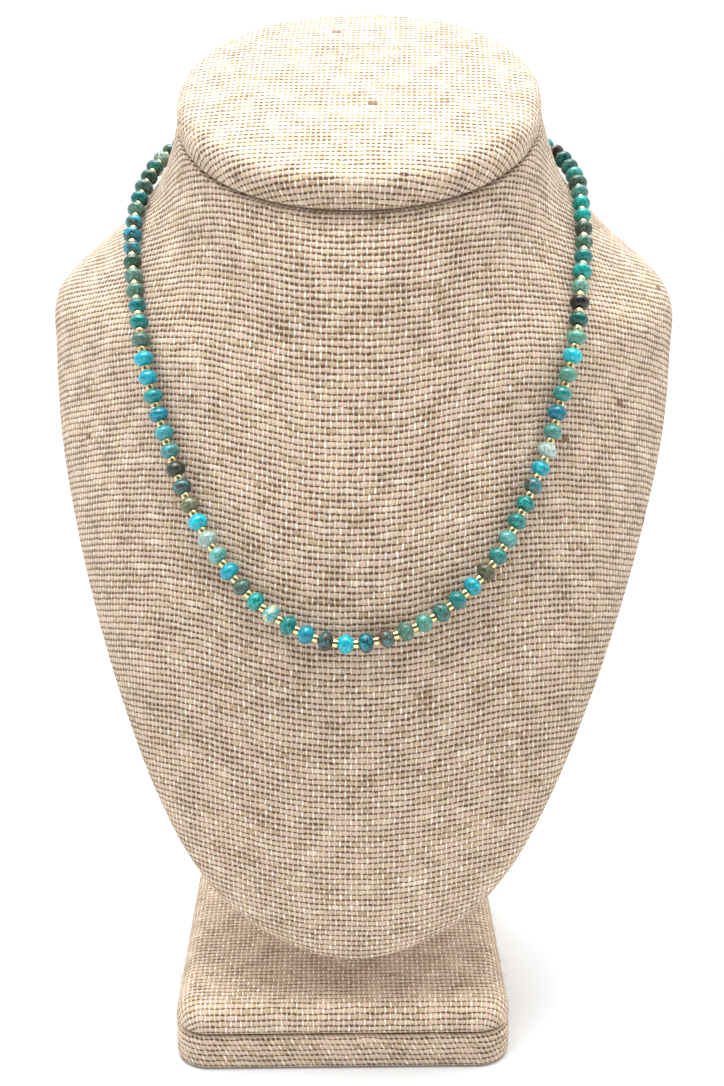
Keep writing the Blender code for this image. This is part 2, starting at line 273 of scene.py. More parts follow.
def skin(name, grid, places_of, start, end, start_place=None, chart="weave"):
    """Closed mesh through a grid of points, from the point start to the point end.

    places_of(row, column, face_column) gives the place in the cloth of a face's corner, and
    face_column says which face, so that a seam can lie between two. Start's own place is given, or
    else it is the mean of its neighbours' places. The places are kept in the chart, a UV map.
    """
    rows, columns = grid.shape[:2]
    vertices = [tuple(p) for p in grid.reshape(-1, 3)]
    faces = []
    places = []
    for r in range(rows - 1):
        for c in range(columns):
            n = (c + 1) % columns
            faces.append((r * columns + c, (r + 1) * columns + c,
                          (r + 1) * columns + n, r * columns + n))
            places += [places_of(r, c, c), places_of(r + 1, c, c),
                       places_of(r + 1, c + 1, c), places_of(r, c + 1, c)]
    for point, row in ((start, 0), (end, rows - 1)):
        middle = len(vertices)
        vertices.append(tuple(point))
        for c in range(columns):
            pair = [row * columns + c, row * columns + (c + 1) % columns]
            corners = [places_of(row, c, c), places_of(row, c + 1, c)]
            if row == 0:
                faces.append((middle, pair[0], pair[1]))
                places += [start_place or tuple(np.mean(corners, axis=0)), corners[0], corners[1]]
            else:
                faces.append((middle, pair[1], pair[0]))
                places += [tuple(np.mean(corners, axis=0)), corners[1], corners[0]]
    mesh = bpy.data.meshes.new(name)
    mesh.from_pydata(vertices, [], faces)
    layer = mesh.uv_layers.new(name=chart)
    layer.uv.foreach_set("vector", np.array(places, dtype=np.float32).ravel())
    return mesh


# %% [markdown]
# ## How the cloth lies on the bust
#
# A woven cloth can't stretch along its threads, but it can shear: its little squares turn into
# lozenges. So a thread that is pulled over the chest and up on to the neck sinks to the sides, and
# that W-shaped sag of the rows is what tells the eye that this is real cloth. It could be faked
# with a flat projection, which stretches the threads wherever the form turns away. Instead a
# coarse net is laid over the form: two straight threads start it, and every further knot is the
# point of the surface at one mesh width from both its neighbours.

# %% Net of threads over a surface
LEAST_SPAN = 0.3
KNOT_ROUNDS = 6
STRAIGHT = (0, 0)


def walk(tree, start, heading, step, count, rises=STRAIGHT):
    """Points of a thread pulled over the surface. Rises turn it upward, in degrees at each step."""
    points = [start]
    spot, way = start, heading
    for number in range(count):
        ahead = tree.find_nearest(spot + way * step)[0]
        ahead, normal, _, _ = tree.find_nearest(spot + (ahead - spot).normalized() * step)
        way = ahead - spot
        way = (way - normal * way.dot(normal)).normalized()
        turn = np.interp([number, number + 1], range(len(rises)), rises)
        bend = math.radians(turn[1] - turn[0]) * math.copysign(1, way.cross(normal).z)
        way = Matrix.Rotation(-bend, 3, normal) @ way
        points.append(ahead)
        spot = ahead
    return points


def knot(tree, beside, below, corner, across, upward):
    """The point at one mesh width from its two neighbours, on the far side from the corner."""
    spot = beside + below - corner
    for _ in range(KNOT_ROUNDS):
        spot = tree.find_nearest(spot)[0]
        one = beside + (spot - beside).normalized() * across
        other = below + (spot - below).normalized() * upward
        spot = (one + other) / 2
    return tree.find_nearest(spot)[0]


def lay_net(tree, centre, across_way, across, upward, counts, rises):
    """Knots by (column, row) on both sides of the middle thread."""
    columns, rows_up, rows_down = counts
    net = {}
    for side in (1, -1):
        thread = walk(tree, centre, across_way * side, across, columns, rises)
        for i, point in enumerate(thread):
            net[side * i, 0] = point
    for side, rows in ((1, rows_up), (-1, rows_down)):
        for j, point in enumerate(walk(tree, centre, Vector((0, 0, side)), upward, rows)):
            net[0, side * j] = point
    for side in (1, -1):
        for rise, rows in ((1, rows_up), (-1, rows_down)):
            for i in range(1, columns + 1):
                for j in range(1, rows + 1):
                    beside = net[side * (i - 1), rise * j]
                    below = net[side * i, rise * (j - 1)]
                    corner = net[side * (i - 1), rise * (j - 1)]
                    net[side * i, rise * j] = knot(tree, beside, below, corner, across, upward)
    return net


class ClothMap:
    """Says where in the cloth a point of the surface is, in millimetres along both threads.

    Knots outside the panel are left out, with all knots that were laid on from them, and so are
    cells of the net that are folded over or nearly closed.
    """

    def __init__(self, net, surface, across, upward, inside):
        keys = {key: number for number, key in enumerate(net)}
        self.points = list(net.values())
        self.places = [Vector((i * across / MM, j * upward / MM, 0)) for i, j in net]
        kept = {}
        for (i, j), point in net.items():
            inner = [(i - (i > 0) + (i < 0), j), (i, j - (j > 0) + (j < 0))]
            kept[i, j] = inside(i, point) and all(kept.get(key, True) for key in inner)
        self.faces = []
        for i, j in net:
            cell = ((i, j), (i + 1, j), (i + 1, j + 1), (i, j + 1))
            ring = [keys.get(key) for key in cell]
            if None in ring or not all(kept[key] for key in cell):
                continue
            a, b, c, d = ring
            spots = [self.points[k] for k in ring]
            outward = surface.find_nearest(spots[0])[1]
            spans = ((spots[1] - spots[0]).cross(spots[3] - spots[0]),
                     (spots[3] - spots[2]).cross(spots[1] - spots[2]))
            if min(span.dot(outward) for span in spans) > LEAST_SPAN * across * upward:
                self.faces += [(a, b, c), (a, c, d)]
        self.tree = BVHTree.FromPolygons(self.points, self.faces)

    def place(self, point):
        """Place in the cloth of the point of the net nearest to this point."""
        spot, _, face, _ = self.tree.find_nearest(Vector(point))
        ends = self.faces[face]
        corners = [self.points[k] for k in ends]
        return tuple(barycentric_transform(spot, *corners, *[self.places[k] for k in ends])[:2])


# %% [markdown]
# The surface for the net runs on above the rim, so that the cloth there has a place too. The front
# panel starts from the middle of the chest and the back panel from the middle of the back. They
# meet in a seam down each side, a little behind the widest place. The first row of the front panel
# isn't quite straight: whoever covered the real bust pulled it up at both sides, then down again.

# %% Front and back panels
MESH_ACROSS = 2.24 * MM
MESH_UPWARD = 2.60 * MM
FRONT_START_HEIGHT = 0.150
BACK_START_HEIGHT = 0.140
# columns: threads to each side of the middle one, rows up, rows down
FRONT_NET = (60, 46, 60)
BACK_NET = (56, 44, 62)
BUST_COLUMNS = 256
SEAM_COLUMN = 80
# how many columns of the form each panel may use, counted from the middle of the chest
FRONT_UP_TO = 92
BACK_FROM = 42
SIDE_SLACK = 4 * MM
COLLAR_START = -2.2
COLLAR_ROWS = 150
TIP_DROP = 0.8 * MM
FRONT_RISES = (0, 2, 4, 6, 8, 9.5, 11, 12, 12.5, 12.5, 12, 11.5, 10.5, 9, 7.5, 6, 4.5, 3, 1.5, 0.5,
               -0.5, -1.5, -2.5, -3.5, -4, -4.5, -5, -5.5, -6)

angles = np.linspace(0, math.tau, BUST_COLUMNS, endpoint=False)
collar = bust_points(np.linspace(COLLAR_START, LAST_SECTION, COLLAR_ROWS), angles)
tip = collar[-1].mean(axis=0) - (0, 0, TIP_DROP)
corner_points = [Vector(p) for p in collar.reshape(-1, 3)] + [Vector(tip)]
around = np.arange(BUST_COLUMNS)
onward = (around + 1) % BUST_COLUMNS
quads = []
for row in range(len(collar) - 1):
    start = row * BUST_COLUMNS
    quads += [(start + a, start + BUST_COLUMNS + a, start + BUST_COLUMNS + b, start + b)
              for a, b in zip(around, onward)]
start = (len(collar) - 1) * BUST_COLUMNS
quads += [(start + b, start + a, len(corner_points) - 1) for a, b in zip(around, onward)]
form = BVHTree.FromPolygons(corner_points, quads)


def from_front(point):
    """How many columns a point of the form is from the middle of the chest."""
    column = form.find_nearest(point)[2] % BUST_COLUMNS
    return min(column, BUST_COLUMNS - column)


front_centre = form.ray_cast(Vector((0, -1, FRONT_START_HEIGHT)), Vector((0, 1, 0)))[0]
back_centre = form.ray_cast(Vector((0, 1, BACK_START_HEIGHT)), Vector((0, -1, 0)))[0]
front_net = lay_net(form, front_centre, Vector((1, 0, 0)), MESH_ACROSS, MESH_UPWARD, FRONT_NET,
                    FRONT_RISES)
back_net = lay_net(form, back_centre, Vector((-1, 0, 0)), MESH_ACROSS, MESH_UPWARD, BACK_NET,
                   STRAIGHT)
front_cloth = ClothMap(front_net, form, MESH_ACROSS, MESH_UPWARD,
                       lambda i, p: from_front(p) < FRONT_UP_TO and i * p.x > -SIDE_SLACK)
back_cloth = ClothMap(back_net, form, MESH_ACROSS, MESH_UPWARD,
                      lambda i, p: from_front(p) > BACK_FROM and -i * p.x > -SIDE_SLACK)
print("front net", len(front_cloth.faces), "faces, back net", len(back_cloth.faces), "faces")


# %% [markdown]
# ## Burlap
#
# Burlap is an open plain weave: each thread goes over one crossing thread and under the next. On
# this bust the upright threads are thin and pale, and the lying ones are wide, soft and tan, so the
# eye sees rows of tan bars with a pale tick between each two and a dark hole at every corner.
# Modelled threads would need tens of millions of triangles at this size, so the weave is a height
# field instead: two rows of round threads that wave over and under each other. The higher thread
# wins, and what is low or between the threads is painted darker, as painted shade for the shadows
# that real threads would cast. The place in the cloth comes from the weave map, so that the threads
# bend with the real pull of the cover.

# %% Burlap
# spacings of the threads, and scales of all noise, in the weave map's millimetres
WARP_SPACING = 1.12
WEFT_SPACING = 1.30
WEAVE_SIZE = (WARP_SPACING, WEFT_SPACING, 1)
# columns: scale of the noise, sway across and upward in millimetres
SWAYS = ((0.11, (0.9, 0.9, 0)), (0.7, (0.56, 0.48, 0)))
NOISE_SPAN = {"From Min": 0.3, "From Max": 0.7}
PATCH_SPAN = {"From Min": 0.35, "From Max": 0.7}
# half widths of the threads and their wave, as shares of their spacing
WEFT_HALF = {"To Min": 0.29, "To Max": 0.46}
WARP_HALF = {"To Min": 0.13, "To Max": 0.24}
PATCH_WIDENS = {"To Min": 0.04, "To Max": -0.05}
PULL_NARROWS = -0.05
WAVE = 0.30
ROUND_BACK = 0.42
BESIDE_DROP = -2.0
# a thread's thickness changes slowly along it, and fast from one thread to the next
ALONG_SCALE = 0.42
NEXT_SCALE = 3.7
PATCH_SCALE = 0.16
THREAD_NOISE = {"Scale": 1.0, "Detail": 2}
# noise layers, all different, so that no two patterns agree
WEFT_LAYER, BAR_LAYER, WARP_LAYER, TICK_LAYER = 2.0, 3.0, 7.0, 9.0
GROUND = -0.62
# the holes are painted dark brown, as painted shade where the threads would shadow them
HOLE_SPAN = {"From Min": -0.6, "From Max": -0.4, "To Min": 1.0, "To Max": 0.0}
HOLE_DARK = {"To Min": 0.7, "To Max": 1.0}
HOLE_SHADE_COLOUR = "5a3315"
BAR_COLOURS = ((0.36, "b49a7e"), (0.46, "c3ab8d"), (0.54, "cdb49b"), (0.62, "d0b3a2"),
               (0.70, "c9b596"), (0.78, "dcc8b2"))
BAR_VARIETY = 0.16
LINE_STRETCH = (0.35, 1.0, 1.0)
TICK_COLOURS = ("e2d2bc", "fff9f0")
SLUB_RARITY = 0.9992
SLUB_DARK = 0.85
SLUB_COLOUR = "6b4c33"
# fine fibres run along each thread, weft and warp, and loose hairs lie over them
STREAK_STRETCHES = ((0.5, 9.0, 1.0), (9.0, 0.5, 1.0))
STREAK_NOISE = {"Scale": 1.0, "Detail": 3, "Roughness": 0.6}
HAIR_NOISE = {"Scale": 2.6, "Detail": 3, "Roughness": 0.7}
# how much fibres, depth, hairs and patches scale the colour, and where they do it: the depth
# term is painted shade, darker where the threads lie low
FIBRE_TONE = {"From Min": 0.25, "From Max": 0.75, "To Min": 0.80, "To Max": 1.18}
DEPTH_SHADE = {"From Min": -0.35, "From Max": 0.5, "To Min": 0.44, "To Max": 1.03}
HAIR_TONE = {**NOISE_SPAN, "To Min": 0.84, "To Max": 1.12}
PATCH_TONE = {**PATCH_SPAN, "To Min": 1.03, "To Max": 0.93}
GAP_TONE = -0.42
PULL_TONE = -0.16
STREAK_RELIEF = 0.16
THREAD_RELIEF = 0.42 * MM


def thread_height(tree, wave_along, side, half, wave_size, over):
    """Height of one set of threads, a wave along and a round back across, and 1 beside them."""
    turn = add(tree, MATH, {0: wave_along, 1: math.pi}, operation="MULTIPLY")
    wave = add(tree, MATH, {0: turn}, operation="COSINE")
    wave = add(tree, MATH, {0: wave, 1: over}, operation="MULTIPLY")
    wave = add(tree, MATH, {0: wave, 1: wave_size}, operation="MULTIPLY")
    share = add(tree, MATH, {0: side, 1: half}, operation="DIVIDE")
    square = add(tree, MATH, {0: share, 1: share}, operation="MULTIPLY")
    rest = add(tree, MATH, {0: 1.0, 1: square}, operation="SUBTRACT")
    inside = add(tree, MATH, {0: rest, 1: 0.0}, operation="MAXIMUM")
    back = add(tree, MATH, {0: inside}, operation="SQRT")
    lifted = add(tree, MATH, {0: back, 1: ROUND_BACK, 2: wave}, operation="MULTIPLY_ADD")
    beside = add(tree, MATH, {0: rest, 1: 0.0}, operation="LESS_THAN")
    height = add(tree, MATH, {0: beside, 1: BESIDE_DROP, 2: lifted}, operation="MULTIPLY_ADD")
    return height, beside


def thread_colours(tree, across, column, row, weft_line, warp_noise, on_warp):
    """Colour of the thread on top, and a random number for each bar and for each tick."""
    # a bar is what shows of a lying thread between two ticks, which are the upright threads
    bar = add(tree, MATH, {0: across, 1: row}, operation="ADD")
    bar = add(tree, MATH, {0: bar, 1: -0.5}, operation="ADD")
    bar = add(tree, MATH, {0: add(tree, MATH, {0: bar, 1: 0.5}, operation="MULTIPLY")},
              operation="FLOOR")
    bar_random, tick_random = [
        add(tree, "ShaderNodeTexWhiteNoise", {"Vector": add(tree, COMBINE, parts)},
            noise_dimensions="3D").outputs["Value"]
        for parts in ({0: bar, 1: row, 2: BAR_LAYER}, {0: column, 1: row, 2: TICK_LAYER})]
    tone_line = add(tree, VECTOR_MATH, {0: weft_line, 1: LINE_STRETCH}, operation="MULTIPLY")
    line_tone = add(tree, NOISE, {"Vector": tone_line, **THREAD_NOISE})
    bar_mix = add(tree, MATH, {0: bar_random, 1: BAR_VARIETY, 2: line_tone},
                  operation="MULTIPLY_ADD")
    bars = add(tree, "ShaderNodeValToRGB", {"Fac": bar_mix})
    ramp = bars.color_ramp
    while len(ramp.elements) < len(BAR_COLOURS):
        ramp.elements.new(0.5)
    for element, (position, code) in zip(ramp.elements, BAR_COLOURS):
        element.position = position
        element.color = srgb(code)
    tick_mix = add(tree, MATH, {0: tick_random, 1: warp_noise}, operation="MULTIPLY")
    ticks = add(tree, MIX, {0: tick_mix, 6: srgb(TICK_COLOURS[0]), 7: srgb(TICK_COLOURS[1])},
                data_type="RGBA")
    threads = add(tree, MIX, {0: on_warp, 6: bars, 7: ticks.outputs[2]}, data_type="RGBA")
    return threads.outputs[2], bar_random, tick_random


def make_burlap():
    """Plain weave of thin pale upright threads and wide tan lying ones."""
    material, tree, shader = new_material("burlap, undyed jute")
    place = add(tree, "ShaderNodeUVMap", uv_map="weave").outputs["UV"]
    # hand-pulled cloth is never quite straight
    swayed = place
    for scale, sway in SWAYS:
        noise = add(tree, NOISE, {"Vector": place, "Scale": scale, "Detail": 2})
        swayed = add(tree, VECTOR_MATH, {0: noise.outputs["Color"], 1: sway, 2: swayed},
                     operation="MULTIPLY_ADD")
    cell = add(tree, VECTOR_MATH, {0: swayed, 1: WEAVE_SIZE}, operation="DIVIDE")
    across, upward, _ = add(tree, "ShaderNodeSeparateXYZ", {0: cell}).outputs
    column = add(tree, MATH, {0: across}, operation="FLOOR")
    row = add(tree, MATH, {0: upward}, operation="FLOOR")
    from_warp, from_weft = [
        add(tree, MATH, {0: add(tree, MATH, {0: run}, operation="FRACT"), 1: 0.5},
            operation="SUBTRACT") for run in (across, upward)]

    # over or under: 1 where the upright thread is on top, -1 where it is below
    both = add(tree, MATH, {0: column, 1: row}, operation="ADD")
    parity = add(tree, MATH, {0: both, 1: 2.0}, operation="FLOORED_MODULO")
    over = add(tree, MATH, {0: parity, 1: -2.0, 2: 1.0}, operation="MULTIPLY_ADD")

    # each thread has its own thickness
    slow_across, slow_upward = [add(tree, MATH, {0: run, 1: ALONG_SCALE}, operation="MULTIPLY")
                                for run in (across, upward)]
    fast_column, fast_row = [add(tree, MATH, {0: number, 1: NEXT_SCALE}, operation="MULTIPLY")
                             for number in (column, row)]
    weft_line = add(tree, COMBINE, {0: slow_across, 1: fast_row, 2: WEFT_LAYER})
    warp_line = add(tree, COMBINE, {0: fast_column, 1: slow_upward, 2: WARP_LAYER})
    weft_noise, warp_noise = [add(tree, NOISE, {"Vector": line, **THREAD_NOISE})
                              for line in (weft_line, warp_line)]
    patches = add(tree, NOISE, {"Vector": place, "Scale": PATCH_SCALE, "Detail": 1})
    widened = add(tree, RANGE, {"Value": patches, **PATCH_SPAN, **PATCH_WIDENS})
    weft_half = add(tree, RANGE, {"Value": weft_noise, **NOISE_SPAN, **WEFT_HALF})
    weft_half = add(tree, MATH, {0: weft_half, 1: widened}, operation="ADD")
    # where the cloth is pulled tight over the bust, its weave opens
    pulled = add(tree, "ShaderNodeAttribute", attribute_name="pull").outputs["Fac"]
    weft_half = add(tree, MATH, {0: pulled, 1: PULL_NARROWS, 2: weft_half},
                    operation="MULTIPLY_ADD")
    warp_half = add(tree, RANGE, {"Value": warp_noise, **NOISE_SPAN, **WARP_HALF})

    # the higher thread wins, and nothing lies deeper than the ground
    warp_height, _ = thread_height(tree, from_weft, from_warp, warp_half, WAVE, over)
    weft_height, beside_weft = thread_height(tree, from_warp, from_weft, weft_half, -WAVE, over)
    top = add(tree, MATH, {0: warp_height, 1: weft_height}, operation="MAXIMUM")
    top = add(tree, MATH, {0: top, 1: GROUND}, operation="MAXIMUM")
    on_warp = add(tree, MATH, {0: warp_height, 1: weft_height}, operation="GREATER_THAN")

    threads, bar_random, tick_random = thread_colours(tree, across, column, row, weft_line,
                                                      warp_noise, on_warp)
    streaks = []
    for stretch in STREAK_STRETCHES:
        lines = add(tree, VECTOR_MATH, {0: swayed, 1: stretch}, operation="MULTIPLY")
        streaks.append(add(tree, NOISE, {"Vector": lines, **STREAK_NOISE}))
    streak = add(tree, MIX, {0: on_warp, 2: streaks[0], 3: streaks[1]}, data_type="FLOAT")
    hairs = add(tree, NOISE, {"Vector": place, **HAIR_NOISE})
    # between two rows the upright thread dives, in the rows' shade, so the gaps read as lines
    between_rows = add(tree, MATH, {0: beside_weft, 1: on_warp}, operation="MULTIPLY")
    # painted shade: the colour darkens with depth, where the threads lie low
    tones = [add(tree, RANGE, {"Value": value, **spans})
             for value, spans in ((streak, FIBRE_TONE), (top, DEPTH_SHADE), (hairs, HAIR_TONE),
                                  (patches, PATCH_TONE))]
    # the pull scales the colour too: darker above 0, lighter below 0, which is painted light on
    # upward tops
    tones += [add(tree, MATH, {0: value, 1: change, 2: 1.0}, operation="MULTIPLY_ADD")
              for value, change in ((between_rows, GAP_TONE), (pulled, PULL_TONE))]
    tone = tones[0]
    for factor in tones[1:]:
        tone = add(tree, MATH, {0: tone, 1: factor}, operation="MULTIPLY")
    shaded = add(tree, VECTOR_MATH, {0: threads, "Scale": tone}, operation="SCALE")

    # painted shade in the holes between the threads, and now and then a brown slub
    hole = add(tree, RANGE, {"Value": top, **HOLE_SPAN})
    hole_dark = add(tree, RANGE, {"Value": tick_random, **HOLE_DARK})
    hole = add(tree, MATH, {0: hole, 1: hole_dark}, operation="MULTIPLY")
    slub = add(tree, MATH, {0: bar_random, 1: SLUB_RARITY}, operation="GREATER_THAN")
    slub = add(tree, MATH, {0: slub, 1: SLUB_DARK}, operation="MULTIPLY")
    colour = shaded.outputs[0]
    for share, code in ((hole, HOLE_SHADE_COLOUR), (slub, SLUB_COLOUR)):
        colour = add(tree, MIX, {0: share, 6: colour, 7: srgb(code)},
                     data_type="RGBA").outputs[2]

    fuzz = add(tree, MATH, {0: streak, 1: STREAK_RELIEF, 2: top}, operation="MULTIPLY_ADD")
    bump = add(tree, "ShaderNodeBump", {"Strength": 1.0, "Distance": THREAD_RELIEF,
                                        "Height": fuzz})
    fill(tree, shader, {"Base Color": colour, "Normal": bump, "Roughness": 0.92,
                        "Specular IOR Level": 0.15, "Sheen Weight": 0.2,
                        "Sheen Tint": srgb("f6e6d2"), "Sheen Roughness": 0.6})
    return material


burlap = make_burlap()
print("burlap:", len(burlap.node_tree.nodes), "nodes")

# %% [markdown]
# ## The bust's cover
#
# On the real bust the cover is glued round the rim of the neck, and the cap sits in it. Here the
# top rows roll inward over a small radius, so that the light finds an edge and the crease beside
# the cap stays dark. The two panels meet in a shallow groove behind each side.

# %% Bust
ROWS_PER_SECTION = 10
RIM_ROLL_START = 0.10
RIM_ROLL_SHARES = (1.0, 0.8, 0.6, 0.4, 0.2)
RIM_INSET = 0.9 * MM
DISC_SHARES = (0.6, 0.3)
LEAD_STEP = 0.05
SEAM_DEPTH = 0.3 * MM
TIP_SHRINKS = (0.7, 0.35)
TIP_POINT = 0.2 * MM
# the pull at some heights, and how much of it is felt at some distances from the middle
CHEST_PULL_HEIGHTS = (45 * MM, 80 * MM, 125 * MM, 150 * MM)
CHEST_PULL = (0.0, 0.5, 0.5, 0.25)
CHEST_PULL_WIDTH = (20 * MM, 45 * MM)
CHEST_PULL_ASIDE = (1.0, 1.5)
NECK_PULL_HEIGHTS = (146 * MM, 164 * MM)
NECK_PULL = (0.0, 0.8)
NECK_PULL_WIDTH = (18 * MM, 36 * MM)
NECK_PULL_ASIDE = (1.0, 0.7)
# columns: place down the table of sections, angle of the seam from the front in degrees
SEAM = ((0.0, 80), (1.5, 86), (2.6, 97), (3.6, 110), (5.0, 115), (14.0, 115))


def seamed_angles(places):
    """Angles of the columns for each place, so that one column follows the seam."""
    seam = np.interp(places, *np.transpose(SEAM))
    knots = (0, SEAM_COLUMN, BUST_COLUMNS - SEAM_COLUMN, BUST_COLUMNS)
    return np.radians([np.interp(range(BUST_COLUMNS), knots, (0, turn, 360 - turn, 360))
                       for turn in seam])


places = np.linspace(RIM_ROLL_START, LAST_SECTION, LAST_SECTION * ROWS_PER_SECTION)
body_rows = bust_points(places, seamed_angles(places))
for column in (SEAM_COLUMN, BUST_COLUMNS - SEAM_COLUMN):
    arm = body_rows[:, column] - body_rows.mean(axis=1)
    body_rows[:, column] -= arm / np.linalg.norm(arm, axis=1, keepdims=True) * SEAM_DEPTH
low_ring = body_rows[0]
rim_ring = bust_points([0.0], seamed_angles([0.0]))[0]
rim_middle = rim_ring.mean(axis=0)
arms = rim_middle - rim_ring
inner_ring = rim_ring + arms / np.linalg.norm(arms, axis=1, keepdims=True) * RIM_INSET
roll = []
for t in RIM_ROLL_SHARES:
    roll.append((1 - t) ** 2 * low_ring + 2 * t * (1 - t) * rim_ring + t ** 2 * inner_ring)
disc = [inner_ring + (rim_middle - inner_ring) * share for share in DISC_SHARES]
tip_middle = body_rows[-1].mean(axis=0)
tip_rows = [tip_middle + (body_rows[-1] - tip_middle) * share for share in TIP_SHRINKS]
bust_grid = np.concatenate([disc, roll, body_rows, tip_rows])
lead = len(disc) + len(roll)
lead_places = RIM_ROLL_START - LEAD_STEP * np.arange(lead, 0, -1)
spots = np.concatenate([bust_points(lead_places, seamed_angles(lead_places)), body_rows,
                        tip_rows])
front_places = {}
back_places = {}
for row in range(len(spots)):
    for column in range(BUST_COLUMNS):
        away = min(column, BUST_COLUMNS - column)
        if away <= SEAM_COLUMN:
            front_places[row, column] = front_cloth.place(spots[row, column])
        if away >= SEAM_COLUMN:
            back_places[row, column] = back_cloth.place(spots[row, column])


def bust_place(row, column, face_column):
    """Place in the cloth, in the front panel or the back one by the side that the face is on."""
    away = min(face_column + 0.5, BUST_COLUMNS - face_column - 0.5)
    chart = front_places if away < SEAM_COLUMN else back_places
    return chart[row, column % BUST_COLUMNS]


cover = make_piece("bust_cover", skin("bust_cover", bust_grid, bust_place, rim_middle,
                                      tip_middle - (0, 0, TIP_POINT)), burlap)
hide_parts("neck_bust")

# the pull opens the weave and darkens the colour: none near the tip, more on the chest and
# its sides, most at the neck's middle
spots = np.empty(len(cover.data.vertices) * 3)
cover.data.vertices.foreach_get("co", spots)
aside, _, height = np.abs(spots.reshape(-1, 3).T)
chest_pull = np.interp(height, CHEST_PULL_HEIGHTS, CHEST_PULL)
chest_pull = chest_pull * np.interp(aside, CHEST_PULL_WIDTH, CHEST_PULL_ASIDE)
neck_pull = np.interp(height, NECK_PULL_HEIGHTS, NECK_PULL)
neck_pull = neck_pull * np.interp(aside, NECK_PULL_WIDTH, NECK_PULL_ASIDE)
pull = np.maximum(chest_pull, neck_pull)
set_pull(cover, pull)
print("pull of the cover, mean:", round(float(pull.mean()), 2))

# %% [markdown]
# ## Padded pieces
#
# The cap and the upper layer of the base are padded boards: cloth pulled over soft edges. Their
# cloth lies flat on top and runs on over the edge without a seam, so its place in the cloth is the
# flat place at the edge's start, plus the way down the edge, straight outward.

# %% Outlines and padded forms
FOOT_STEPS = 6
FOOT_START = 0.1


def round_rectangle(width, depth, corner, side_steps, corner_steps):
    """Points round a rectangle with round corners, and their outward directions."""
    points = []
    outward = []
    for quarter in range(4):
        centre = Vector((width / 2 - corner, depth / 2 - corner))
        if quarter in (1, 2):
            centre.x = -centre.x
        if quarter in (2, 3):
            centre.y = -centre.y
        for step in range(corner_steps + 1):
            turn = math.radians(90) * (quarter + step / corner_steps)
            way = Vector((math.cos(turn), math.sin(turn)))
            points.append(centre + way * corner)
            outward.append(way)
        straight = (depth if quarter % 2 else width) - 2 * corner
        along = Vector((-outward[-1].y, outward[-1].x))
        for step in range(1, side_steps):
            points.append(centre + outward[-1] * corner + along * straight * step / side_steps)
            outward.append(outward[-1].copy())
    return np.array(points), np.array(outward)


def padded_rings(outline, outward, profile, crown, crown_steps):
    """Rings of (x, y, height, u, v) from the crowned top over the edge to the underside.

    The profile lists (inset, height) from below up to the start of the flat top.
    """
    flat_inset, flat_height = profile[-1]
    flat = outline - outward * flat_inset
    rings = []
    away = 0.0
    last = profile[-1]
    for inset, height in reversed(profile):
        away += math.dist(last, (inset, height))
        last = (inset, height)
        ring = outline - outward * inset
        cloth = (flat + outward * away) / MM
        rings.append(np.column_stack([ring, np.full(len(ring), height), cloth]))
    rings.reverse()
    for step in range(1, crown_steps):
        share = 1 - step / crown_steps
        ring = flat * share
        height = flat_height + crown * (1 - share ** 4)
        rings.append(np.column_stack([ring, np.full(len(ring), height), ring / MM]))
    return np.array(rings)[::-1]


def round_edge(inset, height, radius, steps):
    """Quarter turn of (inset, height), from an upright side to a flat top at that height."""
    turns = np.linspace(0, math.pi / 2, steps)
    return [(inset + radius * (1 - math.cos(t)), height - radius * (1 - math.sin(t)))
            for t in turns]


def round_foot(inset, height, radius, first=0.0):
    """Quarter turn of (inset, height), from a flat underside at that height to an upright side."""
    turns = np.linspace(first, math.pi / 2, FOOT_STEPS)
    return [(inset + radius * (1 - math.sin(t)), height + radius * (1 - math.cos(t)))
            for t in turns]


# %% Neck cap
CAP_THICK = 7.0 * MM
CAP_EDGE = 4.0 * MM
CAP_FOOT = 1.1 * MM
CAP_CROWN = 1.2 * MM
CAP_INSET = 0.35 * MM
CAP_COLUMNS = 128
CAP_EDGE_STEPS = 9
CAP_CROWN_STEPS = 9
CAP_GAP = 0.3 * MM
CAP_CLOTH_SHIFT = np.array((4.3, 200.6))
CAP_TOP_LIGHTENING = 0.45

cap_outline = bust_points([0.0], np.linspace(0, math.tau, CAP_COLUMNS, endpoint=False))[0]
rim_front = cap_outline[0]
rim_back = cap_outline[CAP_COLUMNS // 2]
cap_middle = (rim_front + rim_back) / 2
backward = (rim_back - rim_front) / np.linalg.norm(rim_back - rim_front)
sideways = np.array((1.0, 0.0, 0.0))
cap_upward = np.cross(sideways, backward)
flat_outline = np.column_stack([(cap_outline - cap_middle) @ sideways,
                                (cap_outline - cap_middle) @ backward])
along = np.roll(flat_outline, -1, axis=0) - np.roll(flat_outline, 1, axis=0)
cap_outward = np.column_stack([along[:, 1], -along[:, 0]])
cap_outward /= np.linalg.norm(cap_outward, axis=1, keepdims=True)
cap_profile = round_foot(CAP_INSET, CAP_GAP, CAP_FOOT, FOOT_START)
cap_profile += round_edge(CAP_INSET, CAP_GAP + CAP_THICK, CAP_EDGE, CAP_EDGE_STEPS)
cap_rings = padded_rings(flat_outline, cap_outward, cap_profile, CAP_CROWN, CAP_CROWN_STEPS)
cap_grid = (cap_middle + cap_rings[:, :, :1] * sideways + cap_rings[:, :, 1:2] * backward
            + cap_rings[:, :, 2:3] * cap_upward)


def cap_place(row, column, face_column):
    return tuple(cap_rings[row, column % CAP_COLUMNS, 3:] + CAP_CLOTH_SHIFT)


cap_top = cap_middle + cap_upward * (CAP_GAP + CAP_THICK + CAP_CROWN)
cap_foot = cap_middle + cap_upward * CAP_GAP
cap_mesh = skin("cap_cover", cap_grid, cap_place, cap_top, cap_foot, tuple(CAP_CLOTH_SHIFT))
cap_cover = make_piece("cap_cover", cap_mesh, burlap)
# painted light: the cap's top is lighter, and its weave closed
lighten_and_close_top(cap_cover, CAP_TOP_LIGHTENING)
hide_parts("neck_cap")

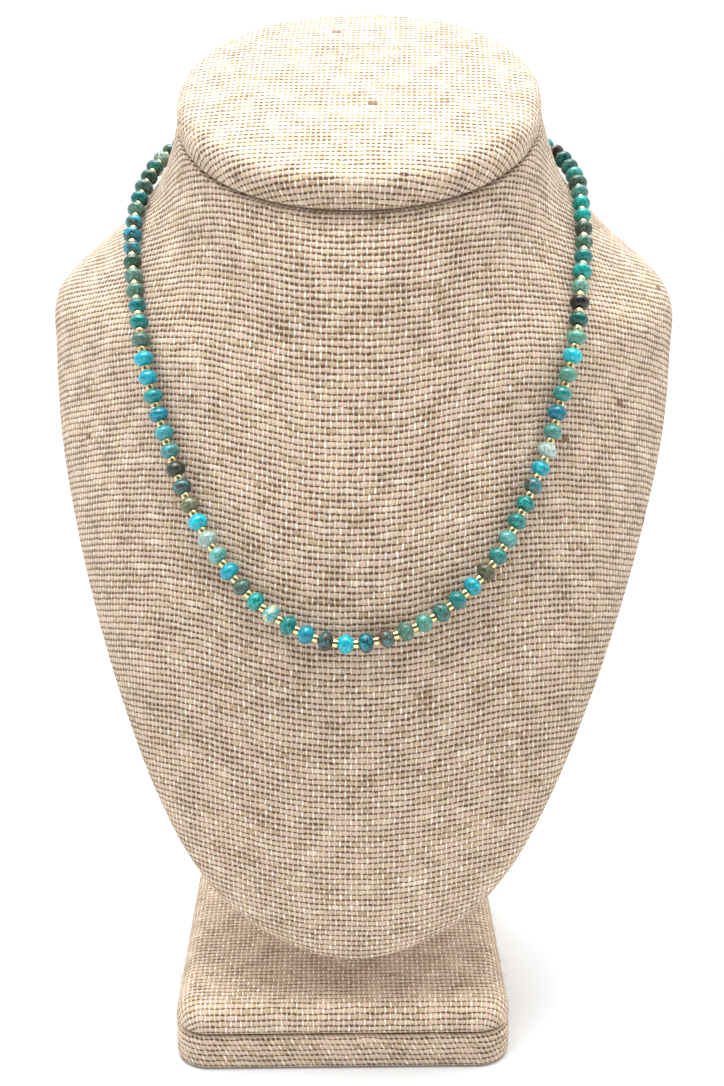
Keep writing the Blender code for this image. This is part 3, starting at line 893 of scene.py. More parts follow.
# %% Base pad
BASE_WIDTH = 74.0 * MM
BASE_DEPTH = 90.0 * MM
BOARD_THICK = 8.2 * MM
PAD_THICK = 6.5 * MM
PAD_EDGE = 4.2 * MM
PAD_FOOT = 1.4 * MM
PAD_CROWN = 0.4 * MM
PAD_INSET = 0.2 * MM
PAD_EDGE_STEPS = 10
PAD_CROWN_STEPS = 14
PAD_TOP_LIGHTENING = 0.4
BASE_CORNER = 7.5 * MM
BASE_SIDE_STEPS = 24
BASE_CORNER_STEPS = 10
SEAT_GAP = 0.3 * MM
BASE_PLACE = (-4.0 * MM, 1.2 * MM, 0)
BASE_TURN = math.radians(3.2)
BASE_CLOTH_SHIFT = np.array((90.4, 401.3))

base_matrix = np.array(Matrix.Translation(BASE_PLACE) @ Matrix.Rotation(BASE_TURN, 4, "Z"))


def on_base(points):
    """Points of the base from its own place and turn to the room's."""
    return points @ base_matrix[:3, :3].T + base_matrix[:3, 3]


outline, outward = round_rectangle(BASE_WIDTH, BASE_DEPTH, BASE_CORNER, BASE_SIDE_STEPS,
                                   BASE_CORNER_STEPS)
pad_low = BOARD_THICK + SEAT_GAP
pad_high = pad_low + PAD_THICK
pad_profile = round_foot(0, pad_low, PAD_FOOT, FOOT_START)
pad_profile += round_edge(PAD_INSET, pad_high, PAD_EDGE, PAD_EDGE_STEPS)
pad_rings = padded_rings(outline, outward, pad_profile, PAD_CROWN, PAD_CROWN_STEPS)
PAD_COLUMNS = len(outline)


def pad_place(row, column, face_column):
    return tuple(pad_rings[row, column % PAD_COLUMNS, 3:] + BASE_CLOTH_SHIFT)


pad_cover = make_piece("base_pad_cover",
                       skin("base_pad_cover", on_base(pad_rings[:, :, :3]), pad_place,
                            on_base(np.array((0, 0, pad_high + PAD_CROWN))),
                            on_base(np.array((0, 0, pad_low))), tuple(BASE_CLOTH_SHIFT)),
                       burlap)
# painted light: the pad's top is lighter, and its weave closed
lighten_and_close_top(pad_cover, PAD_TOP_LIGHTENING)
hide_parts("base_pad")

# %% [markdown]
# The lower layer of the base is a stiff board whose cloth is a strip round its edge. The strip was
# wound a little askew, so its upright threads lean to the right. Its place in the cloth is the way
# round the edge and the height. The short post behind the chest is dressed in the same way.

# %% Base board and post
BOARD_EDGE = 1.4 * MM
BOARD_EDGE_STEPS = 6
BOARD_LEAN = 0.45
BOARD_CLOTH_SHIFT = 611.7
POST_WIDTH = 30.0 * MM
POST_DEPTH = 14.0 * MM
POST_CORNER = 4.0 * MM
POST_SIDE_STEPS = 8
POST_CORNER_STEPS = 6
POST_PLACE = 12.0 * MM
POST_ROWS = 12
POST_CLOTH_SHIFT = 811.2


def lengths_round(outline):
    """Running length in millimetres at each point of a closed outline, and of the whole round."""
    steps = np.linalg.norm(np.roll(outline, -1, axis=0) - outline, axis=1)
    return np.concatenate([[0], np.cumsum(steps)]) / MM


board_profile = round_foot(0, 0, BOARD_EDGE)
board_profile += [(0, BOARD_THICK / 2)]
board_profile += round_edge(0, BOARD_THICK, BOARD_EDGE, BOARD_EDGE_STEPS)
board_profile.reverse()
board_rings = np.array([np.column_stack([outline - outward * inset,
                                         np.full(len(outline), height)])
                        for inset, height in board_profile])
board_round = lengths_round(outline)
board_down = np.concatenate([[0], np.cumsum([math.dist(a, b) for a, b in
                                             zip(board_profile, board_profile[1:])])]) / MM


def board_place(row, column, face_column):
    down = board_down[row]
    return board_round[column] - BOARD_LEAN * down, BOARD_CLOTH_SHIFT - down


board_cover = make_piece("base_board_cover",
                         skin("base_board_cover", on_base(board_rings), board_place,
                              on_base(np.array((0, 0, BOARD_THICK))),
                              on_base(np.array((0, 0, 0)))), burlap)
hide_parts("base_board")

post_outline, _ = round_rectangle(POST_WIDTH, POST_DEPTH, POST_CORNER, POST_SIDE_STEPS,
                                  POST_CORNER_STEPS)
post_outline += (0, POST_PLACE)
post_floor = pad_high + SEAT_GAP


def under_bust(x, y):
    """Height of the back of the chest over a place, less the gap that the post keeps."""
    return form.ray_cast(Vector((x, y, post_floor)), Vector((0, 0, 1)))[0].z - 2 * SEAT_GAP


post_tops = np.array([under_bust(x, y) for x, y in post_outline])
post_grid = np.array([np.column_stack([post_outline,
                                       post_floor + (post_tops - post_floor) * share])
                      for share in np.linspace(1, 0, POST_ROWS)])
post_round = lengths_round(post_outline)


def post_place(row, column, face_column):
    height = post_grid[row, column % len(post_outline), 2] / MM
    return post_round[column], POST_CLOTH_SHIFT + height


post_cover = make_piece("post_cover",
                        skin("post_cover", post_grid, post_place,
                             np.array((0, POST_PLACE, under_bust(0, POST_PLACE))),
                             np.array((0, POST_PLACE, post_floor))), burlap)
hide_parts("support_post")

# %% [markdown]
# ## The route of the string
#
# The route is the one that the solids were strung along: heights on the cloth, at chosen angles
# round the neck. From it come the place and direction of every stone and every spacer. The first
# stone left of the middle sits where it does in the picture.

# %% Route
BEAD_DIAMETER = 4.0 * MM
BEAD_LENGTH = 2.8 * MM
PITCH = 4.06 * MM
CLASP_LENGTH = 9.0 * MM
LAY_GAP = 0.4 * MM
FIRST_STONE = 0.65 * MM
ROUTE_AXIS_BACK = 0.008
# columns: angle round the neck in degrees, height as a share of the bust's
ROUTE = (
    (-180.0, 0.909), (-150.0, 0.904), (-122.0, 0.874), (-106.0, 0.847), (-93.0, 0.812),
    (-82.0, 0.777), (-70.0, 0.733), (-59.5, 0.684), (-50.5, 0.607), (-40.5, 0.537),
    (-29.5, 0.474), (-16.0, 0.418), (-1.0, 0.392), (15.0, 0.410), (29.5, 0.457),
    (40.5, 0.520), (50.0, 0.583), (58.5, 0.664), (68.5, 0.725), (81.0, 0.777),
    (93.0, 0.816), (106.0, 0.843), (122.0, 0.869), (150.0, 0.898), (180.0, 0.909),
)
ROUTE_STEPS = 12
DIRECTION_REACH = 0.8 * MM

spans = len(ROUTE) - 1
route_turns = catmull_rom(ROUTE, np.linspace(0, spans, spans * ROUTE_STEPS + 1))
route = []
for turn, share in route_turns:
    height = TIP_HEIGHT + BUST_RISE * share
    out = Vector((math.sin(math.radians(turn)), -math.cos(math.radians(turn)), 0))
    hit, normal, _, _ = form.ray_cast(Vector((0, ROUTE_AXIS_BACK, height)) + out, -out)
    route.append(hit + normal * (BEAD_DIAMETER / 2 + LAY_GAP))
route = np.array(route)
steps = np.linalg.norm(np.diff(route, axis=0), axis=1)
run = np.concatenate([[0], np.cumsum(steps)])
run -= run[len(route) // 2]


def on_route(length):
    """Place and direction of the string at a running length from the middle of the front."""
    ends = [np.array([np.interp(length + shift, run, route[:, k]) for k in range(3)])
            for shift in (-DIRECTION_REACH, 0, DIRECTION_REACH)]
    return Vector(ends[1]), Vector(ends[2] - ends[0]).normalized()


first = math.ceil((run[0] + CLASP_LENGTH / 2 + PITCH / 2 - FIRST_STONE) / PITCH)
last = math.floor((run[-1] - CLASP_LENGTH / 2 - PITCH / 2 - FIRST_STONE) / PITCH)
print("string", round((run[-1] - run[0]) / MM), "mm round,", last - first + 1, "stones")

# %% [markdown]
# ## Stones, spacers and thread
#
# Every stone is a hand-cut rondelle of its own: a little thicker or thinner, a little askew on the
# thread, and in its own colours. The points of the string carry these facts as attributes. The
# geometry nodes below turn one rondelle from a straight line, put it on every point, align it with
# the string and pass the colours on.
#
# The colours are listed one by one, from the front outward on each side: the body, the lighter
# patches and the darker matrix between them, and how much of both there is.

# %% Stone colours
STONES = {
    # kind: body, patch, matrix, share of patches, share of matrix
    "cyan": ("009cb0", "18c2d2", "08646f", 0.47, 0.27),
    "spotted": ("0096a8", "50bac4", "40685e", 0.43, 0.37),
    "azure": ("007e94", "0c9eb4", "084c5a", 0.45, 0.33),
    "veined": ("0092a0", "10b4c2", "0a262a", 0.46, 0.44),
    "bright": ("008a92", "24aeac", "124e4c", 0.45, 0.34),
    "teal": ("0a7472", "34988e", "24463c", 0.45, 0.38),
    "deep": ("005e60", "0a8a86", "08201f", 0.45, 0.40),
    "emerald": ("007c78", "10b0a6", "064038", 0.45, 0.37),
    "sea": ("4a9280", "76ac98", "3e5c4c", 0.45, 0.37),
    "pale": ("8eaaa0", "c0d2c8", "5e7468", 0.45, 0.35),
    "milky": ("3e928c", "72b2aa", "466250", 0.45, 0.37),
    "grey": ("4a7064", "6c9684", "303e34", 0.45, 0.40),
    "khaki": ("6c6e50", "94a07e", "3c3622", 0.45, 0.40),
    "slate": ("3a5a54", "58847a", "2c3428", 0.45, 0.40),
    "olive": ("4a4e36", "2c8480", "2a2616", 0.43, 0.41),
    "split": ("4c543e", "08b0ca", "2e3020", 0.50, 0.35),
    "brown": ("5e4a38", "26888e", "302016", 0.41, 0.41),
    "night": ("241f18", "2e5248", "0e0a07", 0.38, 0.41),
    "maroon": ("40241c", "206460", "180c09", 0.37, 0.41),
    "cream": ("10a6ba", "cec8a0", "647050", 0.47, 0.31),
    "forest": ("2c5648", "4c7c68", "1a2a20", 0.45, 0.40),
}
LEFT_STONES = (
    "cyan brown azure emerald cream emerald grey cyan milky pale cyan khaki brown olive spotted "
    "spotted azure bright cyan cyan grey emerald bright sea grey forest split split split grey "
    "deep slate forest teal pale forest teal sea bright deep olive sea teal cyan grey milky "
    "slate emerald bright sea").split()
RIGHT_STONES = (
    "veined brown sea sea olive teal cyan khaki teal milky teal emerald brown cyan pale milky "
    "azure teal sea cyan sea emerald night sea emerald teal sea grey emerald emerald milky grey "
    "teal teal deep maroon azure teal grey sea bright olive deep milky slate emerald sea cyan "
    "grey teal").split()

STONE_SEED = 7
AMOUNT_SPREAD = 0.1
PATTERN_SPREAD = 100
WIDTHS = (0.96, 1.05)
OVALS = (0.98, 1.02)
THICKNESSES = (0.93, 1.07)
STONE_TILT = 0.05
SPACER_TILT = 0.04

rng = random.Random(STONE_SEED)


def stone_facts(number):
    """Colours, amounts, size and tilt of the stone at a place in the string."""
    if number <= 0:
        kind = LEFT_STONES[-number % len(LEFT_STONES)]
    else:
        kind = RIGHT_STONES[(number - 1) % len(RIGHT_STONES)]
    body, patch, matrix, patches, veins = STONES[kind]
    wide = rng.uniform(*WIDTHS)
    return {"body": srgb(body), "patch": srgb(patch), "matrix": srgb(matrix),
            "amounts": (patches + rng.uniform(-AMOUNT_SPREAD, AMOUNT_SPREAD),
                        veins + rng.uniform(-AMOUNT_SPREAD, AMOUNT_SPREAD),
                        rng.uniform(0, PATTERN_SPREAD)),
            "size": (wide, wide * rng.uniform(*OVALS), rng.uniform(*THICKNESSES)),
            "tilt": (rng.gauss(0, STONE_TILT), rng.gauss(0, STONE_TILT),
                     rng.uniform(0, math.tau))}


def point_mesh(name, spots, facts):
    """A mesh of loose points, with an attribute for each fact: colours have four numbers."""
    mesh = bpy.data.meshes.new(name)
    mesh.from_pydata([tuple(s) for s in spots], [], [])
    for key in facts[0]:
        values = np.array([fact[key] for fact in facts], dtype=np.float32)
        colours = values.shape[1] == 4
        layer = mesh.attributes.new(key, "FLOAT_COLOR" if colours else "FLOAT_VECTOR", "POINT")
        layer.data.foreach_set("color" if colours else "vector", values.ravel())
    return put_in_scene(name, mesh)


# %% Geometry nodes for a turned part on every point
LUMP_SCALE = 420.0


def new_group(name, sizes):
    """A tree that takes a geometry, named sizes and a material, with its input and its output."""
    tree = bpy.data.node_groups.new(name, "GeometryNodeTree")
    tree.interface.new_socket("Geometry", in_out="INPUT", socket_type="NodeSocketGeometry")
    for key in sizes:
        tree.interface.new_socket(key, in_out="INPUT", socket_type="NodeSocketFloat")
    tree.interface.new_socket("Material", in_out="INPUT", socket_type="NodeSocketMaterial")
    tree.interface.new_socket("Geometry", in_out="OUTPUT", socket_type="NodeSocketGeometry")
    return tree, add(tree, "NodeGroupInput"), add(tree, "NodeGroupOutput")


def turned_parts_tree(name, rows, sides, fullness):
    """Places a turned part on each point: length and radius are inputs, fullness rounds its rim."""
    tree, given, result = new_group(name, ("Length", "Radius", "End radius", "Unevenness"))

    # the turned part: a straight line whose radius follows a rounded formula
    half = add(tree, MATH, {0: given.outputs["Length"], 1: 0.5}, operation="MULTIPLY")
    line = add(tree, "GeometryNodeCurvePrimitiveLine", {"Start": (0, 0, 0), "End": (0, 0, 1)})
    fine = add(tree, "GeometryNodeResampleCurve", {"Curve": line, "Count": rows})
    share = add(tree, "GeometryNodeSplineParameter")
    turn = add(tree, RANGE, {"Value": share.outputs["Factor"], "To Min": -math.pi / 2,
                             "To Max": math.pi / 2})
    sine = add(tree, MATH, {0: turn}, operation="SINE")
    cosine = add(tree, MATH, {0: turn}, operation="COSINE")
    height = add(tree, MATH, {0: sine, 1: half}, operation="MULTIPLY")
    spot = add(tree, COMBINE, {2: height})
    bent = add(tree, "GeometryNodeSetPosition", {"Geometry": fine, "Position": spot})
    swell = add(tree, MATH, {0: cosine, 1: fullness}, operation="POWER")
    radius = add(tree, RANGE, {"Value": swell, "To Min": given.outputs["End radius"],
                               "To Max": given.outputs["Radius"]})
    circle = add(tree, "GeometryNodeCurvePrimitiveCircle", {"Resolution": sides, "Radius": 1.0})
    part = add(tree, "GeometryNodeCurveToMesh",
               {"Curve": bent, "Profile Curve": circle, "Scale": radius, "Fill Caps": True})

    # on every point, along the string, with its own size and a small tilt
    facts = {}
    for key in ("tangent", "size", "tilt"):
        facts[key] = add(tree, "GeometryNodeInputNamedAttribute", {"Name": key},
                         data_type="FLOAT_VECTOR").outputs["Attribute"]
    aligned = add(tree, "FunctionNodeAlignRotationToVector", {"Vector": facts["tangent"]},
                  axis="Z")
    tilt = add(tree, "FunctionNodeEulerToRotation", {0: facts["tilt"]})
    turned = add(tree, "FunctionNodeRotateRotation", {"Rotation": aligned, "Rotate By": tilt},
                 rotation_space="LOCAL")
    placed = add(tree, "GeometryNodeInstanceOnPoints",
                 {"Points": given.outputs["Geometry"], "Instance": part, "Rotation": turned,
                  "Scale": facts["size"]})
    whole = add(tree, "GeometryNodeRealizeInstances", {"Geometry": placed})

    # cut by hand: no two faces of the real part are quite alike
    position = add(tree, "GeometryNodeInputPosition")
    lumps = add(tree, NOISE, {"Vector": position, "Scale": LUMP_SCALE, "Detail": 1})
    centred = add(tree, VECTOR_MATH, {0: lumps.outputs["Color"], 1: (0.5, 0.5, 0.5)},
                  operation="SUBTRACT")
    offset = add(tree, VECTOR_MATH, {0: centred, "Scale": given.outputs["Unevenness"]},
                 operation="SCALE")
    shaped = add(tree, "GeometryNodeSetPosition", {"Geometry": whole, "Offset": offset})
    painted = add(tree, "GeometryNodeSetMaterial",
                  {"Geometry": shaped, "Material": given.outputs["Material"]})
    fill(tree, result, {"Geometry": painted})
    return tree


def grow(holder, tree, values, name):
    """The mesh that the nodes make from a point mesh, as a finished piece."""
    modifier = holder.modifiers.new("grow", "NODES")
    modifier.node_group = tree
    for item in tree.interface.items_tree:
        if item.in_out == "INPUT" and item.name in values:
            modifier[item.identifier] = values[item.name]
    bpy.context.view_layer.update()
    ready = holder.evaluated_get(bpy.context.evaluated_depsgraph_get())
    mesh = bpy.data.meshes.new_from_object(ready)
    mesh.name = name
    holder.modifiers.remove(modifier)
    bpy.data.objects.remove(holder)
    return make_piece(name, mesh, values["Material"])


# %% [markdown]
# Polished turquoise is a waxy stone with a soft shine: lighter patches, a net of darker matrix and
# a few specks. The colours come from the attributes of each stone, so one material does for all.

# %% Turquoise, gold and cord
# clouds and veins of the stone: noise scales for each millimetre
CLOUDS = {"Scale": 0.8, "Detail": 4, "Roughness": 0.6, "Distortion": 0.9}
VEINS = {"Scale": 1.3, "Detail": 4, "Roughness": 0.65, "Distortion": 1.4}
GRAIN = {"Scale": 3.0, "Detail": 3}
PATCH_EDGE = {"From Min": 0.90, "From Max": 1.04}
MATRIX_EDGE = {"From Min": 0.86, "From Max": 0.98}
CRACK_SCALE = 0.75
CRACK_BEND = 1.4
CRACK_EDGE = {"From Min": 0.02, "From Max": 0.10, "To Min": 0.5, "To Max": 0.0}
SPECKLE_TONE = {"From Min": 0.3, "From Max": 0.7, "To Min": 0.58, "To Max": 1.14}
STONE_GLOSS = {"To Min": 0.20, "To Max": 0.36}
STONE_RELIEF = 0.04 * MM
WEAR_SCALE = 900.0
GOLD_COLOURS = ("dcc684", "f2e4b4")
GOLD_GLOSS = {"To Min": 0.16, "To Max": 0.30}
GOLD_RELIEF = 0.02 * MM
TWIST_SCALE = 0.6
CORD_COLOURS = ("a89878", "d9ccae")
CORD_RELIEF = 0.05 * MM


def make_turquoise():
    """Waxy polished stone whose colours come from the stone's own attributes."""
    material, tree, shader = new_material("turquoise, waxed and polished")
    body, patch, matrix, amounts = [
        add(tree, "ShaderNodeAttribute", attribute_name=key)
        for key in ("body", "patch", "matrix", "amounts")]
    patches, veins, pattern = add(tree, "ShaderNodeSeparateXYZ",
                                  {0: amounts.outputs["Vector"]}).outputs
    place = add(tree, "ShaderNodeTexCoord").outputs["Object"]
    away = add(tree, COMBINE, {2: pattern})
    scaled = add(tree, VECTOR_MATH, {0: place, 1: (1 / MM,) * 3, 2: away},
                 operation="MULTIPLY_ADD")
    cloud = add(tree, NOISE, {"Vector": scaled, **CLOUDS})
    vein = add(tree, NOISE, {"Vector": scaled, **VEINS})
    clouded = add(tree, MATH, {0: cloud, 1: patches}, operation="ADD")
    veined = add(tree, MATH, {0: vein, 1: veins}, operation="ADD")
    in_matrix = add(tree, RANGE, {"Value": veined, **MATRIX_EDGE})
    # thin crackle lines: the borders of small cells, bent by the veins
    bent = add(tree, VECTOR_MATH, {0: vein.outputs["Color"], 1: (CRACK_BEND,) * 3, 2: scaled},
               operation="MULTIPLY_ADD")
    cells = add(tree, "ShaderNodeTexVoronoi", {"Vector": bent, "Scale": CRACK_SCALE},
                feature="DISTANCE_TO_EDGE")
    colour = body.outputs["Color"]
    for share, over in ((add(tree, RANGE, {"Value": clouded, **PATCH_EDGE}), patch),
                        (in_matrix, matrix),
                        (add(tree, RANGE, {"Value": cells, **CRACK_EDGE}), matrix)):
        colour = add(tree, MIX, {0: share, 6: colour, 7: over.outputs["Color"]},
                     data_type="RGBA").outputs[2]
    grain = add(tree, NOISE, {"Vector": scaled, **GRAIN})
    speckle = add(tree, RANGE, {"Value": grain, **SPECKLE_TONE})
    speckled = add(tree, VECTOR_MATH, {0: colour, "Scale": speckle}, operation="SCALE")
    bump = add(tree, "ShaderNodeBump", {"Strength": 0.35, "Distance": STONE_RELIEF,
                                        "Height": grain})
    fill(tree, shader, {"Base Color": speckled, "Normal": bump,
                        "Roughness": add(tree, RANGE, {"Value": in_matrix, **STONE_GLOSS}),
                        "Specular IOR Level": 0.4, "Coat Weight": 0.2, "Coat Roughness": 0.08})
    return material


def make_gold():
    """Plated metal: a warm pale gold, polished, with faint turning marks."""
    material, tree, shader = new_material("gold plate, polished")
    place = add(tree, "ShaderNodeTexCoord").outputs["Object"]
    wear = add(tree, NOISE, {"Vector": place, "Scale": WEAR_SCALE, "Detail": 2})
    tone = add(tree, MIX, {0: wear, 6: srgb(GOLD_COLOURS[0]), 7: srgb(GOLD_COLOURS[1])},
               data_type="RGBA")
    bump = add(tree, "ShaderNodeBump", {"Strength": 0.2, "Distance": GOLD_RELIEF,
                                        "Height": wear})
    fill(tree, shader, {"Base Color": tone.outputs[2], "Normal": bump, "Metallic": 1.0,
                        "Roughness": add(tree, RANGE, {"Value": wear, **GOLD_GLOSS})})
    return material


def make_thread_material():
    """Twisted beading cord, waxed."""
    material, tree, shader = new_material("beading cord, waxed nylon")
    place = add(tree, "ShaderNodeUVMap", uv_map="along")
    twist = add(tree, "ShaderNodeTexWave", {"Vector": place, "Scale": TWIST_SCALE},
                bands_direction="DIAGONAL").outputs["Fac"]
    tone = add(tree, MIX, {0: twist, 6: srgb(CORD_COLOURS[0]), 7: srgb(CORD_COLOURS[1])},
               data_type="RGBA")
    bump = add(tree, "ShaderNodeBump", {"Strength": 0.6, "Distance": CORD_RELIEF,
                                        "Height": twist})
    fill(tree, shader, {"Base Color": tone.outputs[2], "Normal": bump, "Roughness": 0.6})
    return material


turquoise = make_turquoise()
gold = make_gold()
cord = make_thread_material()

# %% Stones and spacers
SPACER_LENGTH = 1.22 * MM
SPACER_DIAMETER = 1.8 * MM
STONE_END = BEAD_DIAMETER * 0.24
SPACER_END = SPACER_DIAMETER * 0.36
STONE_UNEVENNESS = 0.16 * MM
SPACER_UNEVENNESS = 0.03 * MM
# rows along the part, sides round it, and how full its rim is: 1 is an oval, 0 a barrel
STONE_FORM = (17, 28, 0.75)
SPACER_FORM = (9, 20, 0.20)


def strung(facts, numbers):
    """Adds the string's direction to each part's facts, and gives the parts' places too."""
    ends = [on_route(FIRST_STONE + number * PITCH) for number in numbers]
    for fact, (_, way) in zip(facts, ends):
        fact["tangent"] = way
    return [spot for spot, _ in ends], facts


stone_tree = turned_parts_tree("turned stone", *STONE_FORM)
spacer_tree = turned_parts_tree("turned spacer", *SPACER_FORM)
sides = {"left": range(first, 1), "right": range(1, last + 1)}
for side, numbers in sides.items():
    facts = [stone_facts(number) for number in numbers]
    stones = grow(point_mesh("stone_points_" + side, *strung(facts, numbers)), stone_tree,
                  {"Length": BEAD_LENGTH, "Radius": BEAD_DIAMETER / 2, "End radius": STONE_END,
                   "Unevenness": STONE_UNEVENNESS, "Material": turquoise}, "stones_" + side)
    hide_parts("bead_string_" + side)

    # a spacer between each two stones, and one between the two halves
    facts = [{"size": (1, 1, 1),
              "tilt": (rng.gauss(0, SPACER_TILT), rng.gauss(0, SPACER_TILT), 0)}
             for _ in numbers]
    halfway = [number - 0.5 for number in numbers]
    tubes = grow(point_mesh("spacer_points_" + side, *strung(facts, halfway)), spacer_tree,
                 {"Length": SPACER_LENGTH, "Radius": SPACER_DIAMETER / 2,
                  "End radius": SPACER_END, "Unevenness": SPACER_UNEVENNESS,
                  "Material": gold}, "spacers_" + side)

# %% [markdown]
# The cord shows only as a hint between a stone and its spacer, and at the clasp. It is a tube along
# the whole route. The clasp is hidden in the picture, so it is a plain screw barrel with ribbed
# ends, one of the commonest clasps for such a string.

# %% Cord and clasp
CORD_DIAMETER = 0.5 * MM
CORD_SIDES = 8
CORD_STEP = 1.0 * MM
CORD_INTO_CLASP = 0.4
ROUND_STEP = 0.2
CLASP_DIAMETER = 3.6 * MM
CLASP_SIDES = 40
# columns: share of the half length, share of the radius
CLASP_PROFILE = ((0.0, 0.82), (0.03, 0.98), (0.10, 1.0), (0.14, 0.90), (0.18, 1.0), (0.26, 1.0),
                 (0.30, 0.90), (0.34, 1.0), (0.42, 1.0), (0.46, 0.90), (0.50, 1.0), (0.70, 0.98),
                 (0.84, 0.86), (0.94, 0.62), (1.0, 0.30))


def ring_round(spot, way, radius, sides):
    """Points on a circle round a spot, square to the way."""
    up = (Vector((0, 0, 1)) - way * way.z).normalized()
    side = way.cross(up)
    return [spot + (up * math.cos(t) + side * math.sin(t)) * radius
            for t in np.linspace(0, math.tau, sides, endpoint=False)]


def twist_place(row, column, face_column):
    """Place on a round piece, for its UV map: along it in steps, and round it."""
    return row * 1.0, column * ROUND_STEP


cord_lengths = np.arange(run[0] + CLASP_LENGTH * CORD_INTO_CLASP,
                         run[-1] - CLASP_LENGTH * CORD_INTO_CLASP, CORD_STEP)
cord_grid = np.array([ring_round(*on_route(length), CORD_DIAMETER / 2, CORD_SIDES)
                      for length in cord_lengths])
cord_mesh = skin("cord", cord_grid, twist_place, on_route(cord_lengths[0])[0],
                 on_route(cord_lengths[-1])[0], chart="along")
make_piece("cord", cord_mesh, cord)

one = on_route(run[0] + CLASP_LENGTH / 2)[0]
other = on_route(run[-1] - CLASP_LENGTH / 2)[0]
clasp_middle = (one + other) / 2
clasp_way = (one - other).normalized()
half_table = [(share * CLASP_LENGTH / 2, radius * CLASP_DIAMETER / 2)
              for share, radius in CLASP_PROFILE]
clasp_table = [(-place, radius) for place, radius in reversed(half_table[1:])] + half_table
clasp_grid = np.array([ring_round(clasp_middle + clasp_way * place, clasp_way, radius,
                                  CLASP_SIDES) for place, radius in clasp_table])
clasp_mesh = skin("clasp_barrel", clasp_grid, twist_place,
                  clasp_middle - clasp_way * CLASP_LENGTH / 2,
                  clasp_middle + clasp_way * CLASP_LENGTH / 2, chart="along")
clasp_piece = make_piece("clasp_barrel", clasp_mesh, gold)
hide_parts("clasp")

# %% [markdown]
# ## Loose fibres
#
# Jute sheds. Short pale hairs stand out of the cloth all over, and they blur its outline against
# the white floor. Particle hair would have no mesh of its own, and hairs set one by one would be a
# long list, so Geometry Nodes scatter one bent hair on the covers, each with its own turn, tilt
# and length.

# %% Fibres
FIBRE_LENGTH = 2.4 * MM
FIBRE_RADIUS = 0.055 * MM
FIBRE_ROOT = 0.1 * MM
FIBRES_PER_SQUARE_METRE = 46000.0
FIBRE_FLOOR_GAP = 3.5 * MM
FIBRE_COLOURS = ("b0926e", "efe0c8")
FIBRE_SHADE_SCALE = 400.0
# where a hair bends and ends, as shares of its length, with z away from the cloth
FIBRE_BEND = (0.45, 0.12, 0.40)
FIBRE_TIP = (1.0, 0.0, 0.16)
FIBRE_TILT_LOW = (-0.5, -0.7, 0.0)
FIBRE_TILT_HIGH = (0.5, 0.2, math.tau)
FIBRE_SHORTEST = 0.35
FIBRE_SEEDS = {"spots": 5, "tilts": 11, "sizes": 12}


def make_fibre_material():
    """Single jute hairs: pale, a little glossy, darker in places."""
    material, tree, shader = new_material("jute fibre, loose")
    place = add(tree, "ShaderNodeTexCoord").outputs["Object"]
    shade = add(tree, NOISE, {"Vector": place, "Scale": FIBRE_SHADE_SCALE, "Detail": 2})
    tone = add(tree, MIX, {0: shade, 6: srgb(FIBRE_COLOURS[0]), 7: srgb(FIBRE_COLOURS[1])},
               data_type="RGBA")
    fill(tree, shader, {"Base Color": tone.outputs[2], "Roughness": 0.6})
    return material


def scattered_fibres_tree():
    """One bent hair on many random points of the covers' faces."""
    tree, given, result = new_group("scattered fibres", ("Density", "Length", "Radius"))

    # the hair rises from the cloth and bends back toward it
    middle, tip = [add(tree, VECTOR_MATH, {0: share, "Scale": given.outputs["Length"]},
                       operation="SCALE") for share in (FIBRE_BEND, FIBRE_TIP)]
    line = add(tree, "GeometryNodeCurveQuadraticBezier",
               {"Resolution": 4, "Start": (0, 0, -FIBRE_ROOT), "Middle": middle, "End": tip})
    ring = add(tree, "GeometryNodeCurvePrimitiveCircle",
               {"Resolution": 3, "Radius": given.outputs["Radius"]})
    hair = add(tree, "GeometryNodeCurveToMesh",
               {"Curve": line, "Profile Curve": ring, "Fill Caps": True})

    spots = add(tree, "GeometryNodeDistributePointsOnFaces",
                {"Mesh": given.outputs["Geometry"], "Density": given.outputs["Density"],
                 "Seed": FIBRE_SEEDS["spots"]}, distribute_method="RANDOM")
    turn = add(tree, "FunctionNodeRandomValue",
               {0: FIBRE_TILT_LOW, 1: FIBRE_TILT_HIGH, "Seed": FIBRE_SEEDS["tilts"]},
               data_type="FLOAT_VECTOR")
    turn = add(tree, "FunctionNodeEulerToRotation", {"Euler": turn.outputs[0]})
    turned = add(tree, "FunctionNodeRotateRotation",
                 {"Rotation": spots.outputs["Rotation"], "Rotate By": turn},
                 rotation_space="LOCAL")
    scale = add(tree, "FunctionNodeRandomValue",
                {2: FIBRE_SHORTEST, 3: 1.0, "Seed": FIBRE_SEEDS["sizes"]}, data_type="FLOAT")
    placed = add(tree, "GeometryNodeInstanceOnPoints",
                 {"Points": spots.outputs["Points"], "Instance": hair, "Rotation": turned,
                  "Scale": scale.outputs[1]})
    solid = add(tree, "GeometryNodeRealizeInstances", {"Geometry": placed})
    coloured = add(tree, "GeometryNodeSetMaterial",
                   {"Geometry": solid, "Material": given.outputs["Material"]})
    fill(tree, result, {"Geometry": coloured})
    return tree


ground = bmesh.new()
for piece in (cover, cap_cover, pad_cover, board_cover):
    ground.from_mesh(piece.data)
low_faces = [face for face in ground.faces if face.calc_center_median().z < FIBRE_FLOOR_GAP]
bmesh.ops.delete(ground, geom=low_faces, context="FACES")
ground_mesh = bpy.data.meshes.new("fibre_ground")
ground.to_mesh(ground_mesh)
ground.free()
fibres = grow(put_in_scene("fibre_ground", ground_mesh), scattered_fibres_tree(),
              {"Density": FIBRES_PER_SQUARE_METRE, "Length": FIBRE_LENGTH,
               "Radius": FIBRE_RADIUS, "Material": make_fibre_material()}, "loose_fibres")

